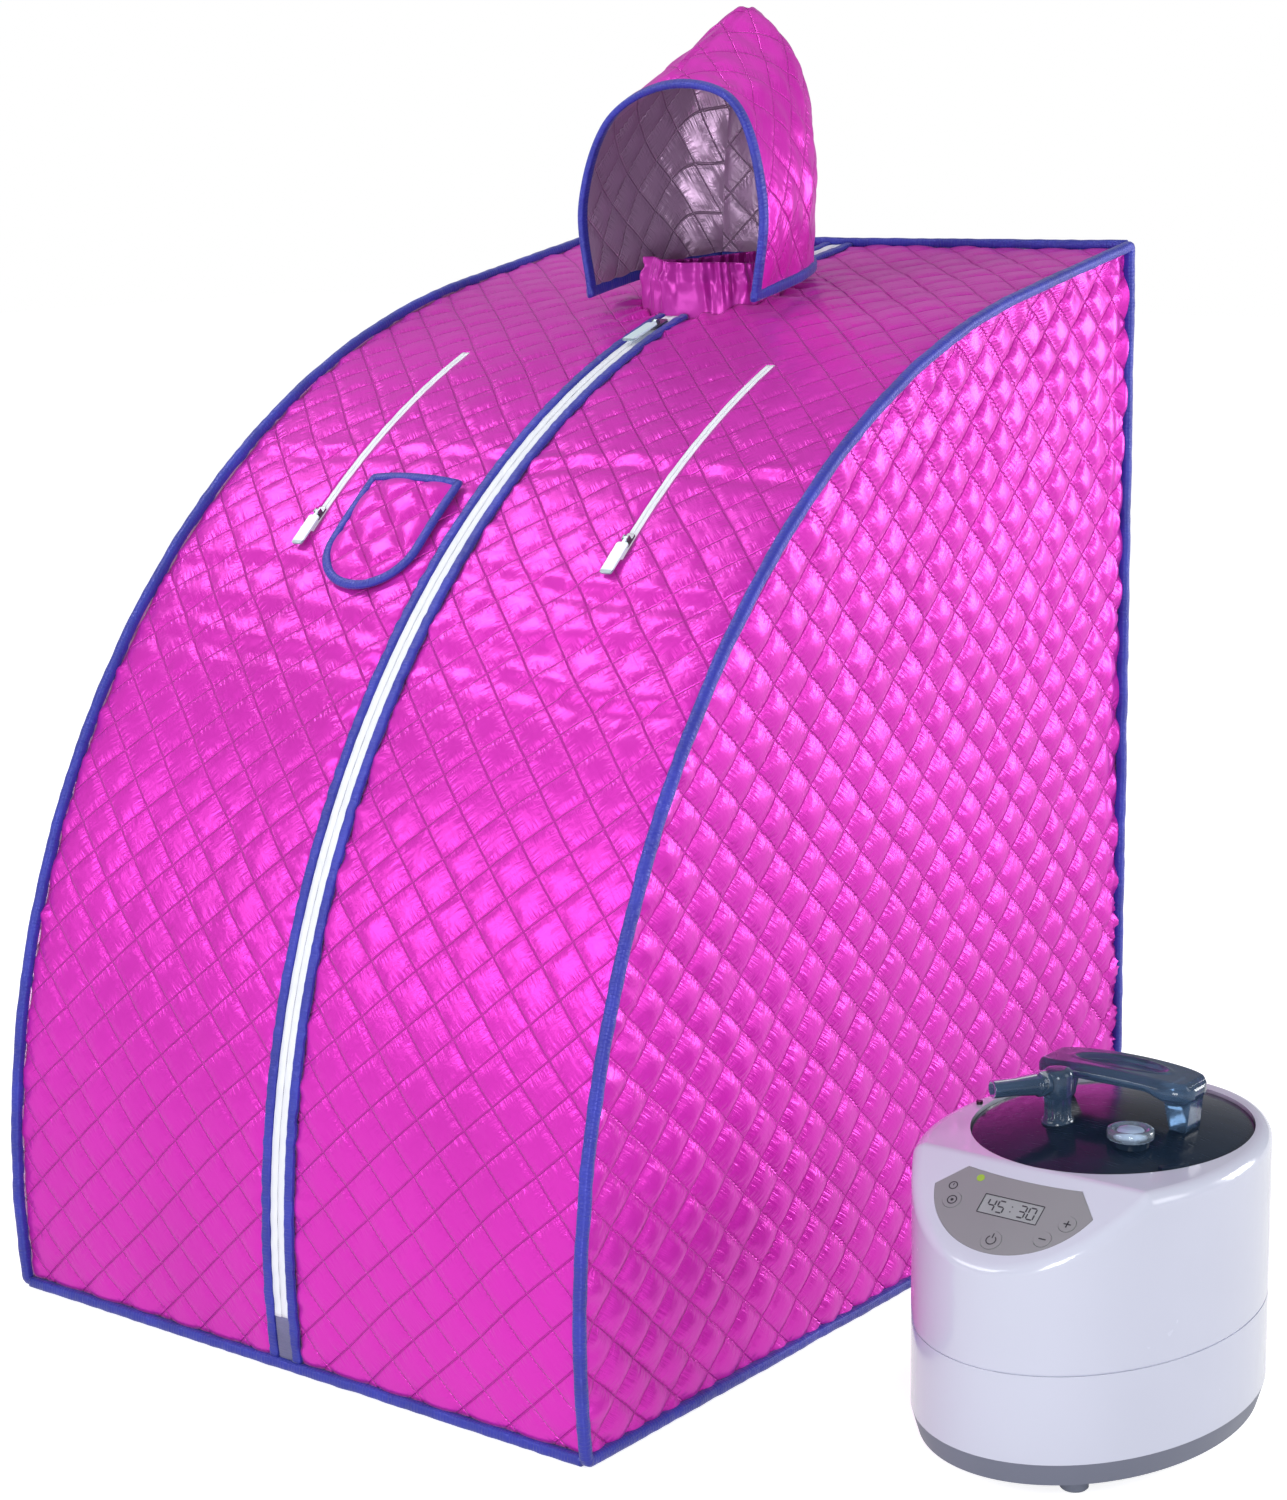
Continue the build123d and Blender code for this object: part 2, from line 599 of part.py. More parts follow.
HANDLE_LEG = 26.0
OUTLET_X = -28.0            # steam outlet from the lid's centre
OUTLET_Y = -46.0
OUTLET_ANGLE = 236.0        # direction of the nozzle, from +X
OUTLET_RADIUS = 13.0
OUTLET_BORE = 8.0
OUTLET_Z = 300.0
NOZZLE_LENGTH = 62.0
NOZZLE_ROOT = 11.0
NOZZLE_TIP = 8.0
NOZZLE_TIP_LENGTH = 22.0
NOZZLE_BORE = 6.0
VALVE_X = 47.0
VALVE_Y = -55.0
VALVE_RADIUS = 20.0
VALVE_STEM = 5.0
VALVE_CLEARANCE = 0.3
VALVE_LIFT = 3.0
BOSS = 13.0                 # height of the boss that the relief valve runs in
LUG_ANGLE = -36.0           # where the bayonet lug stands on the lid's rim
LUG_WIDTH = 26.0
LUG_DEPTH = 7.0
LUG_PROUD = 2.0
PANEL_THICK = 1.5
FAN_HALF = 75.0             # the control face's fan outline: half widths, and places down the slope
FAN_TOP_HALF = 54.0
FAN_TOP = 12.0
FAN_SAG = 3.0
FAN_SIDE = 36.0
FAN_FOOT = 90.0
BUTTON_TRAVEL = 0.5
BUTTON_PROUD = 0.4
BUTTON_CLEARANCE = 0.3
# buttons on the control face: across, down the slope, radius
BUTTONS = {
    "button_power": (0.0, 77.0, 9.0),
    "button_mode": (-52.0, 48.0, 8.0),
    "button_minus": (42.0, 65.0, 7.5),
    "button_plus": (56.0, 46.0, 7.5),
}
LCD = (2.0, 44.0, 56.0, 19.0)
LED = (-38.0, 21.0, 3.5)

LID_CENTRE = LID_BACK
LID_TOP_Z = LID_RIM_Z + LID_RIM + LID_DOME
VALVE_SEAT_Z = LID_TOP_Z - 1.0
STEAMER = Pos(STEAMER_X, STEAMER_Y, 0)
WELL = Pos(STEAMER_X, STEAMER_Y + LID_BACK, 0)


def oval(half_x, half_y, z0, z1):
    """An upright oval cylinder."""
    return Pos(0, 0, z0) * extrude(Ellipse(half_x, half_y), z1 - z0)


def body_form(inset, top, rounding):
    """The body's oval form, cut by the control face, taken in by an inset."""
    form = oval(BODY_X - inset, BODY_Y - inset, 0, top)
    face = Pos(0, SLOPE_START, BODY_TOP_Z) * Rot(SLOPE_ANGLE, 0, 0) * block(-400, 400, -400, 400, -inset, 400)
    form = form - face
    return fillet(form.edges().filter_by(lambda e: e.center().Z > 100), rounding)


def on_face(u, down, proud=0.0):
    """The frame of something on the control face: X across, Y up the slope, Z out of it."""
    return STEAMER * Pos(0, SLOPE_START, BODY_TOP_Z) * Rot(SLOPE_ANGLE, 0, 0) * Pos(u, -down, proud)


def face_direction():
    a = math.radians(SLOPE_ANGLE)
    return Vector(0, -math.sin(a), math.cos(a))


def base_tray():
    """Grey foot skirt, open above, drawn in towards its foot."""
    low = Pos(0, 0, FOOT_HEIGHT) * Ellipse(BODY_X - SKIRT_LEAN, BODY_Y - SKIRT_LEAN)
    high = Pos(0, 0, SKIRT_TOP_Z) * Ellipse(BODY_X, BODY_Y)
    tray = loft([low.face(), high.face()])
    tray -= oval(BODY_X - SKIRT_LEAN - SHELL, BODY_Y - SKIRT_LEAN - SHELL, FOOT_HEIGHT + SHELL, SKIRT_TOP_Z + 1)
    for x, y in foot_places():
        tray -= Pos(x, y, FOOT_HEIGHT) * Cylinder(SCREW_RADIUS, 4 * SHELL)
    return STEAMER * tray


SCREW_RADIUS = 2.0
SCREW_HEAD = 4.0


def foot_places():
    return [(sx * FOOT_X, sy * FOOT_Y) for sx in (-1, 1) for sy in (-1, 1)]


def feet():
    """Round rubber feet, each hollow for its screw head."""
    found = []
    for x, y in foot_places():
        foot = Cylinder(FOOT_RADIUS, FOOT_HEIGHT, align=BOTTOM)
        foot = chamfer(foot.edges().group_by(Axis.Z)[0], 1.5)
        foot -= Cylinder(SCREW_HEAD + 0.5, FOOT_HEIGHT - 3, align=BOTTOM)
        foot -= Cylinder(SCREW_RADIUS, 4 * FOOT_HEIGHT)
        found.append(STEAMER * Pos(x, y, 0) * foot)
    return found


def foot_screws():
    """Screws up through the feet and the tray."""
    found = []
    for x, y in foot_places():
        head_z = FOOT_HEIGHT - 3
        head = Pos(0, 0, head_z - 3) * Cylinder(SCREW_HEAD, 3, align=BOTTOM)
        shank = Pos(0, 0, head_z) * Cylinder(SCREW_RADIUS, 20, align=BOTTOM)
        found.append(STEAMER * Pos(x, y, 0) * (head + shank))
    return found


def lower_housing():
    shell = oval(BODY_X, BODY_Y, SKIRT_TOP_Z, SEAM_Z) - oval(BODY_X - SHELL, BODY_Y - SHELL, 0, SEAM_Z + 1)
    groove = oval(BODY_X + 1, BODY_Y + 1, SEAM_Z - SEAM_GROOVE, SEAM_Z + 1)
    groove -= oval(BODY_X - SEAM_GROOVE, BODY_Y - SEAM_GROOVE, 0, 2 * SEAM_Z)
    inlet = Pos(0, BODY_Y, INLET_Z) * Box(INLET_WIDTH, 60, INLET_HEIGHT)
    return STEAMER * (shell - groove - inlet)


INLET_Z = 62.0
INLET_WIDTH = 28.0
INLET_HEIGHT = 22.0


def power_inlet():
    """Moulded socket for the mains lead, at the back of the lower housing."""
    flange = block(-INLET_WIDTH / 2 - 5, INLET_WIDTH / 2 + 5, BODY_Y + 0.2, BODY_Y + 3.2, INLET_Z - 16, INLET_Z + 16)
    body = block(-INLET_WIDTH / 2, INLET_WIDTH / 2, BODY_Y - 22, BODY_Y + 0.2, INLET_Z - 11, INLET_Z + 11)
    hollow = block(-INLET_WIDTH / 2 + 3, INLET_WIDTH / 2 - 3, BODY_Y - 17, BODY_Y + 10, INLET_Z - 8, INLET_Z + 8)
    pin = Pos(6, BODY_Y - 18, INLET_Z) * Rot(-90, 0, 0) * Cylinder(1.2, 15, align=BOTTOM)
    return STEAMER * (flange + body - hollow + pin + mirror_x(pin))


def upper_housing():
    outer = body_form(0, BODY_TOP_Z, EDGE_ROUND)
    inner = body_form(SHELL, BODY_TOP_Z - SHELL, EDGE_ROUND - SHELL)
    shell = outer - inner - oval(400, 400, -10, SEAM_Z)
    ledge_z = LID_RIM_Z - GASKET - TANK_FLANGE
    well = Pos(0, LID_BACK, 0) * oval(LID_X + SHELL, LID_Y + SHELL, ledge_z - LEDGE, BODY_TOP_Z - SHELL / 2)
    shell += well & (inner + outer)
    shell -= Pos(0, LID_BACK, 0) * oval(LID_X, LID_Y, ledge_z, BODY_TOP_Z + 1)
    shell -= Pos(0, LID_BACK, 0) * oval(LID_X - TANK_INSET + 0.5, LID_Y - TANK_INSET + 0.5, 0, BODY_TOP_Z)
    shell = STEAMER * shell
    shell -= panel_plate(0.0, -PANEL_THICK, 4.0, 0.0)
    shell -= panel_plate(-3.0, -4 * SHELL, 4.0, 0.0)
    return shell - PIN_PLACE * Cylinder(LOCK_PIN, 10, align=BOTTOM)


LOCK_PIN = 3.0
PIN_PLACE = STEAMER * Pos(-LID_X - LOCK_PIN - 1.5, LID_BACK - 20, BODY_TOP_Z - SHELL + 1)


def lock_pin():
    """Small black button beside the lid that shows and holds its locked position."""
    return PIN_PLACE * Cylinder(LOCK_PIN - 0.1, SHELL + 2, align=BOTTOM)


def panel_plate(grow, low, high, shave):
    """A plate of the control face's fan outline."""
    def corner(u, down):
        return (u, -down, 0)
    half = FAN_HALF + grow
    top_half = FAN_TOP_HALF + grow * 0.7
    top = FAN_TOP - grow
    edges = [
        Edge.make_line(corner(-half, FAN_SIDE), corner(-top_half, top)),
        Edge.make_three_point_arc(corner(-top_half, top), corner(0, top + FAN_SAG), corner(top_half, top)),
        Edge.make_line(corner(top_half, top), corner(half, FAN_SIDE)),
        Edge.make_three_point_arc(corner(half, FAN_SIDE), corner(0, FAN_FOOT + grow), corner(-half, FAN_SIDE)),
    ]
    face = Face(Wire(edges))
    return on_face(0, 0, low) * extrude(face, high - low - shave, dir=(0, 0, 1))


def control_panel():
    """Grey membrane plate, flush in the control face, with wells for the display, the lamp and the keys."""
    plate = panel_plate(-0.3, -PANEL_THICK, 0.0, 0.0)
    u, down, width, height = LCD
    plate -= on_face(u, down) * Box(width + 0.4, height + 0.4, 10)
    u, down, radius = LED
    plate -= on_face(u, down) * Cylinder(radius + 0.1, 10)
    for u, down, radius in BUTTONS.values():
        plate -= on_face(u, down) * Cylinder(radius + BUTTON_CLEARANCE, 10)
    return plate


def lcd_window():
    u, down, width, height = LCD
    return on_face(u, down, -PANEL_THICK) * Box(width, height, PANEL_THICK - 0.3, align=BOTTOM)


KEY_FLOOR = -PANEL_THICK - 4.0
BOARD = 1.6
BOARD_WIDTH = 118.0
BOARD_DEPTH = 64.0


def led_lamp():
    u, down, radius = LED
    return on_face(u, down, KEY_FLOOR) * Cylinder(radius, -KEY_FLOOR + 0.2, align=BOTTOM)


def button(name):
    u, down, radius = BUTTONS[name]
    return on_face(u, down, -PANEL_THICK) * Cylinder(radius, PANEL_THICK + BUTTON_PROUD, align=BOTTOM)


def control_board():
    """Circuit board under the control face, with a switch under each key."""
    board = on_face(0, 49, KEY_FLOOR - BOARD) * Box(BOARD_WIDTH, BOARD_DEPTH, BOARD, align=BOTTOM)
    for u, down, radius in BUTTONS.values():
        post = -PANEL_THICK - BUTTON_TRAVEL - KEY_FLOOR - 0.3
        board += on_face(u, down, KEY_FLOOR) * Box(6, 6, post, align=BOTTOM)
    for u, down in ((-22, 26), (22, 26), (-28, 70)):
        board += on_face(u, down, KEY_FLOOR) * Cylinder(3, -PANEL_THICK - KEY_FLOOR, align=BOTTOM)
    return board


def tank():
    """Stainless water tank, hung by its flange on the housing's ledge."""
    x, y = LID_X - TANK_INSET, LID_Y - TANK_INSET
    flange_z = LID_RIM_Z - GASKET - TANK_FLANGE
    shell = oval(LID_X - LID_CLEARANCE, LID_Y - LID_CLEARANCE, flange_z, flange_z + TANK_FLANGE)
    shell += oval(x, y, TANK_BOTTOM_Z, flange_z)
    shell -= oval(x - TANK_WALL, y - TANK_WALL, TANK_BOTTOM_Z + TANK_WALL, BODY_TOP_Z)
    return WELL * shell


def heater():
    """Cast heating plate under the tank."""
    return WELL * oval(HEATER_X, HEATER_Y, TANK_BOTTOM_Z - HEATER_THICK, TANK_BOTTOM_Z)


def thermostat():
    low = TANK_BOTTOM_Z - HEATER_THICK - THERMOSTAT_HEIGHT
    return WELL * Pos(0, 0, low) * Cylinder(THERMOSTAT, THERMOSTAT_HEIGHT, align=BOTTOM)


def gasket():
    x, y = LID_X - LID_CLEARANCE - 3, LID_Y - LID_CLEARANCE - 3
    z = LID_RIM_Z - GASKET
    return WELL * (oval(x, y, z, LID_RIM_Z) - oval(x - 6, y - 6, z - 1, LID_RIM_Z + 1))


def dome(half_x, half_y, rise, drop):
    """An oval cap, rise high, drawn down by drop below its rim."""
    unit = 100.0
    ball = (unit * unit + rise * rise) / (2 * rise)
    cap = Pos(0, 0, rise - ball) * Sphere(ball) & Cylinder(unit, 4 * rise, align=BOTTOM)
    cap = scale(cap, by=(half_x / unit, half_y / unit, 1))
    return cap + oval(half_x, half_y, -drop, 0)


def lid():
    x, y = LID_X - LID_CLEARANCE, LID_Y - LID_CLEARANCE
    cover = Pos(0, 0, LID_RIM_Z + LID_RIM) * dome(x, y, LID_DOME, LID_RIM)
    inside = Pos(0, 0, LID_RIM_Z + LID_RIM - LID_WALL) * dome(x - 10, y - 10, LID_DOME - 1.5, LID_RIM)
    cover -= inside
    cover -= Pos(OUTLET_X, OUTLET_Y, LID_TOP_Z) * Cylinder(OUTLET_BORE, 80)
    boss = Pos(VALVE_X, VALVE_Y, VALVE_SEAT_Z - BOSS) * Cylinder(VALVE_RADIUS - 4, BOSS, align=BOTTOM)
    rim = oval(x, y, LID_RIM_Z, BODY_TOP_Z + LUG_PROUD)
    corner = (Align.MIN, Align.CENTER, Align.MIN)
    lug = Pos(0, 0, LID_RIM_Z + LID_RIM / 2) * Rot(0, 0, LUG_ANGLE) * Box(400, LUG_WIDTH, 40, align=corner)
    cover += boss + (rim & lug - oval(x - LUG_DEPTH, y - LUG_DEPTH, 0, 400))
    cover -= Pos(VALVE_X, VALVE_Y, LID_TOP_Z) * Cylinder(VALVE_STEM + VALVE_CLEARANCE, 80)
    return WELL * cover




def relief_valve():
    """Clear round cap that lifts off its seat when the steam pressure rises; its stem runs in the lid's boss."""
    cap = Pos(0, 0, VALVE_SEAT_Z) * Cylinder(VALVE_RADIUS, 9, align=BOTTOM)
    cap = fillet(cap.edges().group_by(Axis.Z)[-1], 3.5)
    stop_top = VALVE_SEAT_Z - BOSS - VALVE_LIFT - 0.5
    stem = Pos(0, 0, stop_top) * Cylinder(VALVE_STEM, VALVE_SEAT_Z + 1 - stop_top, align=BOTTOM)
    stop = Pos(0, 0, stop_top - 2) * Cylinder(VALVE_STEM + 2, 2, align=BOTTOM)
    return WELL * Pos(VALVE_X, VALVE_Y, 0) * (cap + stem + stop)


def dome_height(x, y):
    """Height of the lid's outer face at a point from its centre."""
    unit = 100.0
    ball = (unit * unit + LID_DOME * LID_DOME) / (2 * LID_DOME)
    r = unit * math.hypot(x / (LID_X - LID_CLEARANCE), y / (LID_Y - LID_CLEARANCE))
    return LID_RIM_Z + LID_RIM + LID_DOME - ball + math.sqrt(ball * ball - r * r)


def lid_handle():
    """Bridge handle across the lid, with an oval finger recess on top and a leg at each end."""
    top = HANDLE_TOP_Z
    beam = Pos(0, 0, top - HANDLE_THICK) * Box(HANDLE_LENGTH, HANDLE_WIDTH, HANDLE_THICK, align=BOTTOM)
    beam = chamfer(beam.edges().filter_by(Axis.Z), 9)
    beam = fillet(beam.edges().group_by(Axis.Z)[-1], 4)
    beam -= Pos(0, 0, top - 4) * extrude(Ellipse(38, 14), 10)
    low = LID_RIM_Z + LID_RIM
    handle = beam
    for side in (-1, 1):
        x = side * (HANDLE_LENGTH - HANDLE_LEG) / 2
        leg = Pos(x, 0, low) * Box(HANDLE_LEG - 4, HANDLE_WIDTH - 20, top - HANDLE_THICK - low + 0.5, align=BOTTOM)
        handle += leg
    handle = Pos(HANDLE_X, HANDLE_Y, 0) * handle
    cover = Pos(0, 0, LID_RIM_Z + LID_RIM) * dome(LID_X - LID_CLEARANCE, LID_Y - LID_CLEARANCE, LID_DOME, LID_RIM)
    return WELL * (handle - cover)


def steam_outlet():
    """Elbow on the lid, with a tapered nozzle that the steam hose pushes on to."""
    low = LID_RIM_Z + LID_RIM
    post = Pos(0, 0, low) * Cylinder(OUTLET_RADIUS, OUTLET_Z + OUTLET_RADIUS - 1 - low, align=BOTTOM)
    post = fillet(post.edges().group_by(Axis.Z)[-1], 4)
    taper = NOZZLE_LENGTH - NOZZLE_TIP_LENGTH
    cone = Cone(NOZZLE_ROOT, NOZZLE_TIP, taper, align=BOTTOM)
    tip = Pos(0, 0, taper) * Cylinder(NOZZLE_TIP, NOZZLE_TIP_LENGTH, align=BOTTOM)
    nozzle = Pos(0, 0, OUTLET_Z) * Rot(0, 0, OUTLET_ANGLE) * Rot(0, 90, 0) * (cone + tip)
    outlet = post + nozzle
    outlet = Pos(OUTLET_X, OUTLET_Y, 0) * outlet
    outlet -= Pos(0, 0, LID_RIM_Z + LID_RIM) * dome(LID_X - LID_CLEARANCE, LID_Y - LID_CLEARANCE, LID_DOME, LID_RIM)
    bore = Pos(0, 0, low - 20) * Cylinder(OUTLET_BORE, OUTLET_Z - low + 20, align=BOTTOM)
    bore += Pos(0, 0, OUTLET_Z) * Rot(0, 0, OUTLET_ANGLE) * Rot(0, 90, 0) * Cylinder(NOZZLE_BORE, 200, align=BOTTOM)
    return WELL * (outlet - Pos(OUTLET_X, OUTLET_Y, 0) * bore)


# ================================================================ the nodes
os.makedirs("parts", exist_ok=True)

right_panel = front_panel()
save("front_panel_right", right_panel)
save("front_panel_left", mirror_x(right_panel))
save("side_panel_right", side_panel())
save("side_panel_left", mirror_x(side_panel()))
save("back_panel", back_panel())
save("floor_panel", floor_panel())
save("bow_piping", *both_sides(side_piping()))
save("hem_piping", *hem_piping())
save("zip_binding", *both_sides(zip_binding()))
save("steam_port", steam_port())
save("neck_collar", collar())

save("main_zip", *main_zip(), *rear_zip())
save("zip_patch", zip_patch())
save("arm_zip_right", *arm_zip())
save("arm_zip_left", *[mirror_x(s) for s in arm_zip()])
slider, pull, main_pin = main_slider()
save("main_slider", slider)
save("main_pull", pull)
for side, label in ((1, "right"), (-1, "left")):
    slider, pull, arm_pin = arm_slider(side)
    save(f"arm_slider_{label}", slider)
    save(f"arm_pull_{label}", pull)

patch, rim = pocket()
save("pocket_patch", patch)
save("pocket_binding", rim)
shell, band = hood()
save("hood_shell", shell)
save("hood_binding", band)
save("hood_tab", hood_tab())

lower, middle, upper = bow_poles()
save("bow_poles_lower", *both_sides(lower))
save("bow_poles_middle", *both_sides(middle))
save("bow_poles_upper", *both_sides(upper))
save("bow_ferrules", *[s for sleeve in bow_ferrules() for s in both_sides(sleeve)])
upright, side_rail, rails = straight_poles()
save("rear_uprights", *both_sides(upright))
save("side_rails", *both_sides(side_rail))
save("cross_rails", *rails)
front, back, top = corner_fittings()
save("front_corners", *both_sides(front))
save("rear_corners", *both_sides(back))
save("roof_corners", *both_sides(top))
save("pole_loops", *[s for loop in pole_loops() for s in both_sides(loop)])

save("base_tray", base_tray())
save("feet", *feet())
save("foot_screws", *foot_screws())
save("lower_housing", lower_housing())
save("upper_housing", upper_housing())
save("power_inlet", power_inlet())
save("tank", tank())
save("heater", heater())
save("thermostat", thermostat())
save("control_panel", control_panel())
save("lcd_window", lcd_window())
save("led_lamp", led_lamp())
save("control_board", control_board())
for name in BUTTONS:
    save(name, button(name))
save("lock_pin", lock_pin())
save("lid", lid())
save("lid_gasket", gasket())
save("lid_handle", lid_handle())
save("steam_outlet", steam_outlet())
save("relief_valve", relief_valve())
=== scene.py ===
import math
import bpy
import numpy as np
from mathutils import Matrix, Vector


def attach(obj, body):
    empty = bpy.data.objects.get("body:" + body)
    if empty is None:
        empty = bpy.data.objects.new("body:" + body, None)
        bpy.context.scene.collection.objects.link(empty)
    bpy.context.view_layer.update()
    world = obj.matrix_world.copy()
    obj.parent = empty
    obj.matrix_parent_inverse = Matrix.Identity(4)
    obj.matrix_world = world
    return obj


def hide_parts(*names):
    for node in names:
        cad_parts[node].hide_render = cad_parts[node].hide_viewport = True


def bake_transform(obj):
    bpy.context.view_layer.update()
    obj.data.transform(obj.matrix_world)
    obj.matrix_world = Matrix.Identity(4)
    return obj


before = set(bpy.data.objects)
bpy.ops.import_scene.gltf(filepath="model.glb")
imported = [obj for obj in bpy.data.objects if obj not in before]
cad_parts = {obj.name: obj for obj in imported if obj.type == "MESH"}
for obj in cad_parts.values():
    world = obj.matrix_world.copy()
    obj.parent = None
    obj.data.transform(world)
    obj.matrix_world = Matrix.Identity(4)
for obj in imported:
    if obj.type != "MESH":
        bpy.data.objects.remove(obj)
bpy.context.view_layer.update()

# ---------------------------------------------------------------- the viewpoint and the room
# A long lens a little above head height, off the tent's right front corner. The room is a pale seamless
# floor and an even glow, with six soft boxes: over the left shoulder, at the right in front, beside and
# behind, on top and at the upper left.
AIM = Vector((0.0642, 0.0090, 0.5044))
EYE = Vector((1.8376, -2.2668, 1.0936))
TILT = math.radians(-0.872)
ahead = (AIM - EYE).normalized()
level = ahead.cross(Vector((0, 0, 1))).normalized()
upright = level.cross(ahead)
across = math.cos(TILT) * level + math.sin(TILT) * upright
upward = math.cos(TILT) * upright - math.sin(TILT) * level
lens = bpy.data.cameras.new("studio_camera")
lens.lens = 72.02
lens.sensor_width = 36
camera = bpy.data.objects.new("studio_camera", lens)
camera.matrix_world = Matrix.Translation(EYE) @ Matrix((across, upward, -ahead)).transposed().to_4x4()
bpy.context.scene.collection.objects.link(camera)
bpy.context.scene.camera = camera
bpy.context.scene.view_settings.view_transform = "Standard"


def tint(code):
    """A colour written as sRGB hex, in the linear values that the shaders take."""
    parts = [int(code[i:i + 2], 16) / 255 for i in (1, 3, 5)]
    return [p / 12.92 if p <= 0.04045 else ((p + 0.055) / 1.055) ** 2.4 for p in parts] + [1.0]


def add(tree, kind, settings=None, **plugs):
    """Adds a shader node. Plugs are inputs, by name with _ for a space or as p0, p1: a value or a source."""
    node = tree.nodes.new("ShaderNode" + kind)
    for key, value in (settings or {}).items():
        setattr(node, key, value)
    for key, value in plugs.items():
        socket = node.inputs[int(key[1:]) if key[0] == "p" and key[1:].isdigit() else key.replace("_", " ")]
        if isinstance(value, bpy.types.Node):
            value = value.outputs[0]
        if isinstance(value, bpy.types.NodeSocket):
            tree.links.new(value, socket)
        else:
            socket.default_value = value
    return node


def paint(name):
    """A new empty node material, its tree, and where its textures lie: on the object, in metres."""
    material = bpy.data.materials.new(name)
    material.use_nodes = True
    tree = material.node_tree
    tree.nodes.clear()
    return material, tree, add(tree, "TexCoord").outputs["Object"]


def show(tree, shader):
    """Sends a shader to the material's output."""
    add(tree, "OutputMaterial", Surface=shader)


def mesh_piece(name, verts, faces, material, body, smooth=True, maps=None, second=None):
    """Makes a mesh object in the row frame that rides on a body. Maps are UV layers given per vertex."""
    data = bpy.data.meshes.new(name)
    data.from_pydata([tuple(v) for v in np.asarray(verts, float)], [],
                     [tuple(int(i) for i in f) for f in faces])
    corner = np.zeros(len(data.loops), np.int32)
    data.loops.foreach_get("vertex_index", corner)
    for layer, values in (maps or {}).items():
        uv = data.uv_layers.new(name=layer)
        uv.data.foreach_set("uv", np.asarray(values, np.float32)[corner].ravel())
    for m in material if isinstance(material, (list, tuple)) else [material]:
        data.materials.append(m)
    if second is not None:
        data.polygons.foreach_set("material_index", np.asarray(second, np.int32))
    data.polygons.foreach_set("use_smooth", [smooth] * len(data.polygons))
    data.update()
    piece = bpy.data.objects.new(name, data)
    bpy.context.scene.collection.objects.link(piece)
    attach(piece, body)
    return piece


# matt seamless paper: pale with the object's shadow to the camera, plain white in gloss and glass
paper, tree, _ = paint("pale_seamless_paper")
white = add(tree, "Emission", Color=tint("#ffffff"), Strength=1.0)
bounce = add(tree, "BsdfDiffuse", Color=tint("#c4c4c8"))
path = add(tree, "LightPath")
mirrored = add(tree, "Math", {"operation": "MAXIMUM"}, p0=path.outputs["Is Glossy Ray"],
               p1=path.outputs["Is Transmission Ray"])
lift = add(tree, "Emission", Color=tint("#ffffff"), Strength=0.78)
shade = add(tree, "AddShader", p0=add(tree, "BsdfDiffuse", Color=tint("#d8d8dc")), p1=lift)
seen = add(tree, "MixShader", Fac=path.outputs["Is Camera Ray"], p1=bounce, p2=shade)
show(tree, add(tree, "MixShader", Fac=mirrored, p1=seen, p2=white))
FLOOR_REACH = 14.0
FLOOR_Z = -0.0005
data = bpy.data.meshes.new("studio_floor")
data.from_pydata([(FLOOR_REACH * x, FLOOR_REACH * y, 0) for x, y in ((-1, -1), (1, -1), (1, 1), (-1, 1))], [],
                 [(0, 1, 2, 3)])
data.materials.append(paper)
floor = bpy.data.objects.new("studio_floor", data)
floor.location.z = FLOOR_Z
bpy.context.scene.collection.objects.link(floor)

world = bpy.data.worlds.new("studio_glow")
bpy.context.scene.world = world
world.use_nodes = True
tree = world.node_tree
tree.nodes.clear()
path = add(tree, "LightPath")
seen = add(tree, "Math", {"operation": "MAXIMUM"}, p0=path.outputs["Is Camera Ray"],
           p1=path.outputs["Is Transmission Ray"])
mixed = add(tree, "MixShader", Fac=seen, p1=add(tree, "Background", Color=tint("#f3f4fb"), Strength=0.42),
            p2=add(tree, "Background", Color=tint("#ffffff"), Strength=1.0))
add(tree, "OutputWorld", Surface=mixed)


def soft_box(name, place, aim, width, height, watts):
    """A rectangular soft light at a place, turned to its aim."""
    light = bpy.data.lights.new(name, "AREA")
    light.shape = "RECTANGLE"
    light.size, light.size_y, light.energy = width, height, watts
    lamp = bpy.data.objects.new(name, light)
    turn = (Vector(aim) - Vector(place)).to_track_quat("-Z", "Y").to_matrix().to_4x4()
    lamp.matrix_world = Matrix.Translation(place) @ turn
    bpy.context.scene.collection.objects.link(lamp)


soft_box("key_soft_box", (-1.4, -3.4, 1.9), (0, 0, 0.6), 2.4, 1.2, 50)
soft_box("right_front_soft_box", (2.0, -2.6, 0.6), (0.35, 0, 0.35), 0.8, 1.0, 42)
soft_box("right_soft_box", (3.5, 0.6, 1.6), (0.3, 0, 0.5), 1.4, 1.4, 24)
soft_box("rear_right_soft_box", (2.3, 2.6, 0.9), (0.3, 0.0, 0.4), 1.0, 1.1, 46)
soft_box("top_soft_box", (0.4, 0.4, 3.4), (0, 0, 0.5), 2.6, 2.6, 12)
soft_box("upper_left_soft_box", (-1.5, -0.5, 2.5), (0, -0.2, 0.85), 0.7, 0.7, 15)

# ---------------------------------------------------------------- front panels
# Two long quilted panels, curved over the poles from the ground to the roof's rear edge and joined by the
# zip. Each is two layers of cloth over wadding, sewn through in diamonds: the thread pulls narrow valleys
# and the wadding fills low cushions. Each has a slit for an arm and is cut away at the neck.
BOW = 0.851
BOW_CENTRE = (0.394657, 0.103711)
FOOT_TURN = math.radians(97.0)
CREST = math.radians(10.5)
HALF_WIDTH = 0.350
BACK_Y = 0.450
FOOT_Z = 0.011
QUILT = 0.006
PIPE = 0.0055
ZIP_EDGE = 0.019
NECK_Y = 0.225
NECK_RADIUS = 0.076
ARM_X = 0.190
ARM_HALF = 0.005
DIAMOND_ACROSS = 0.0535
DIAMOND_UP = 0.0502
WADDING = 0.0026
CREST_RUN = BOW * (FOOT_TURN - CREST)
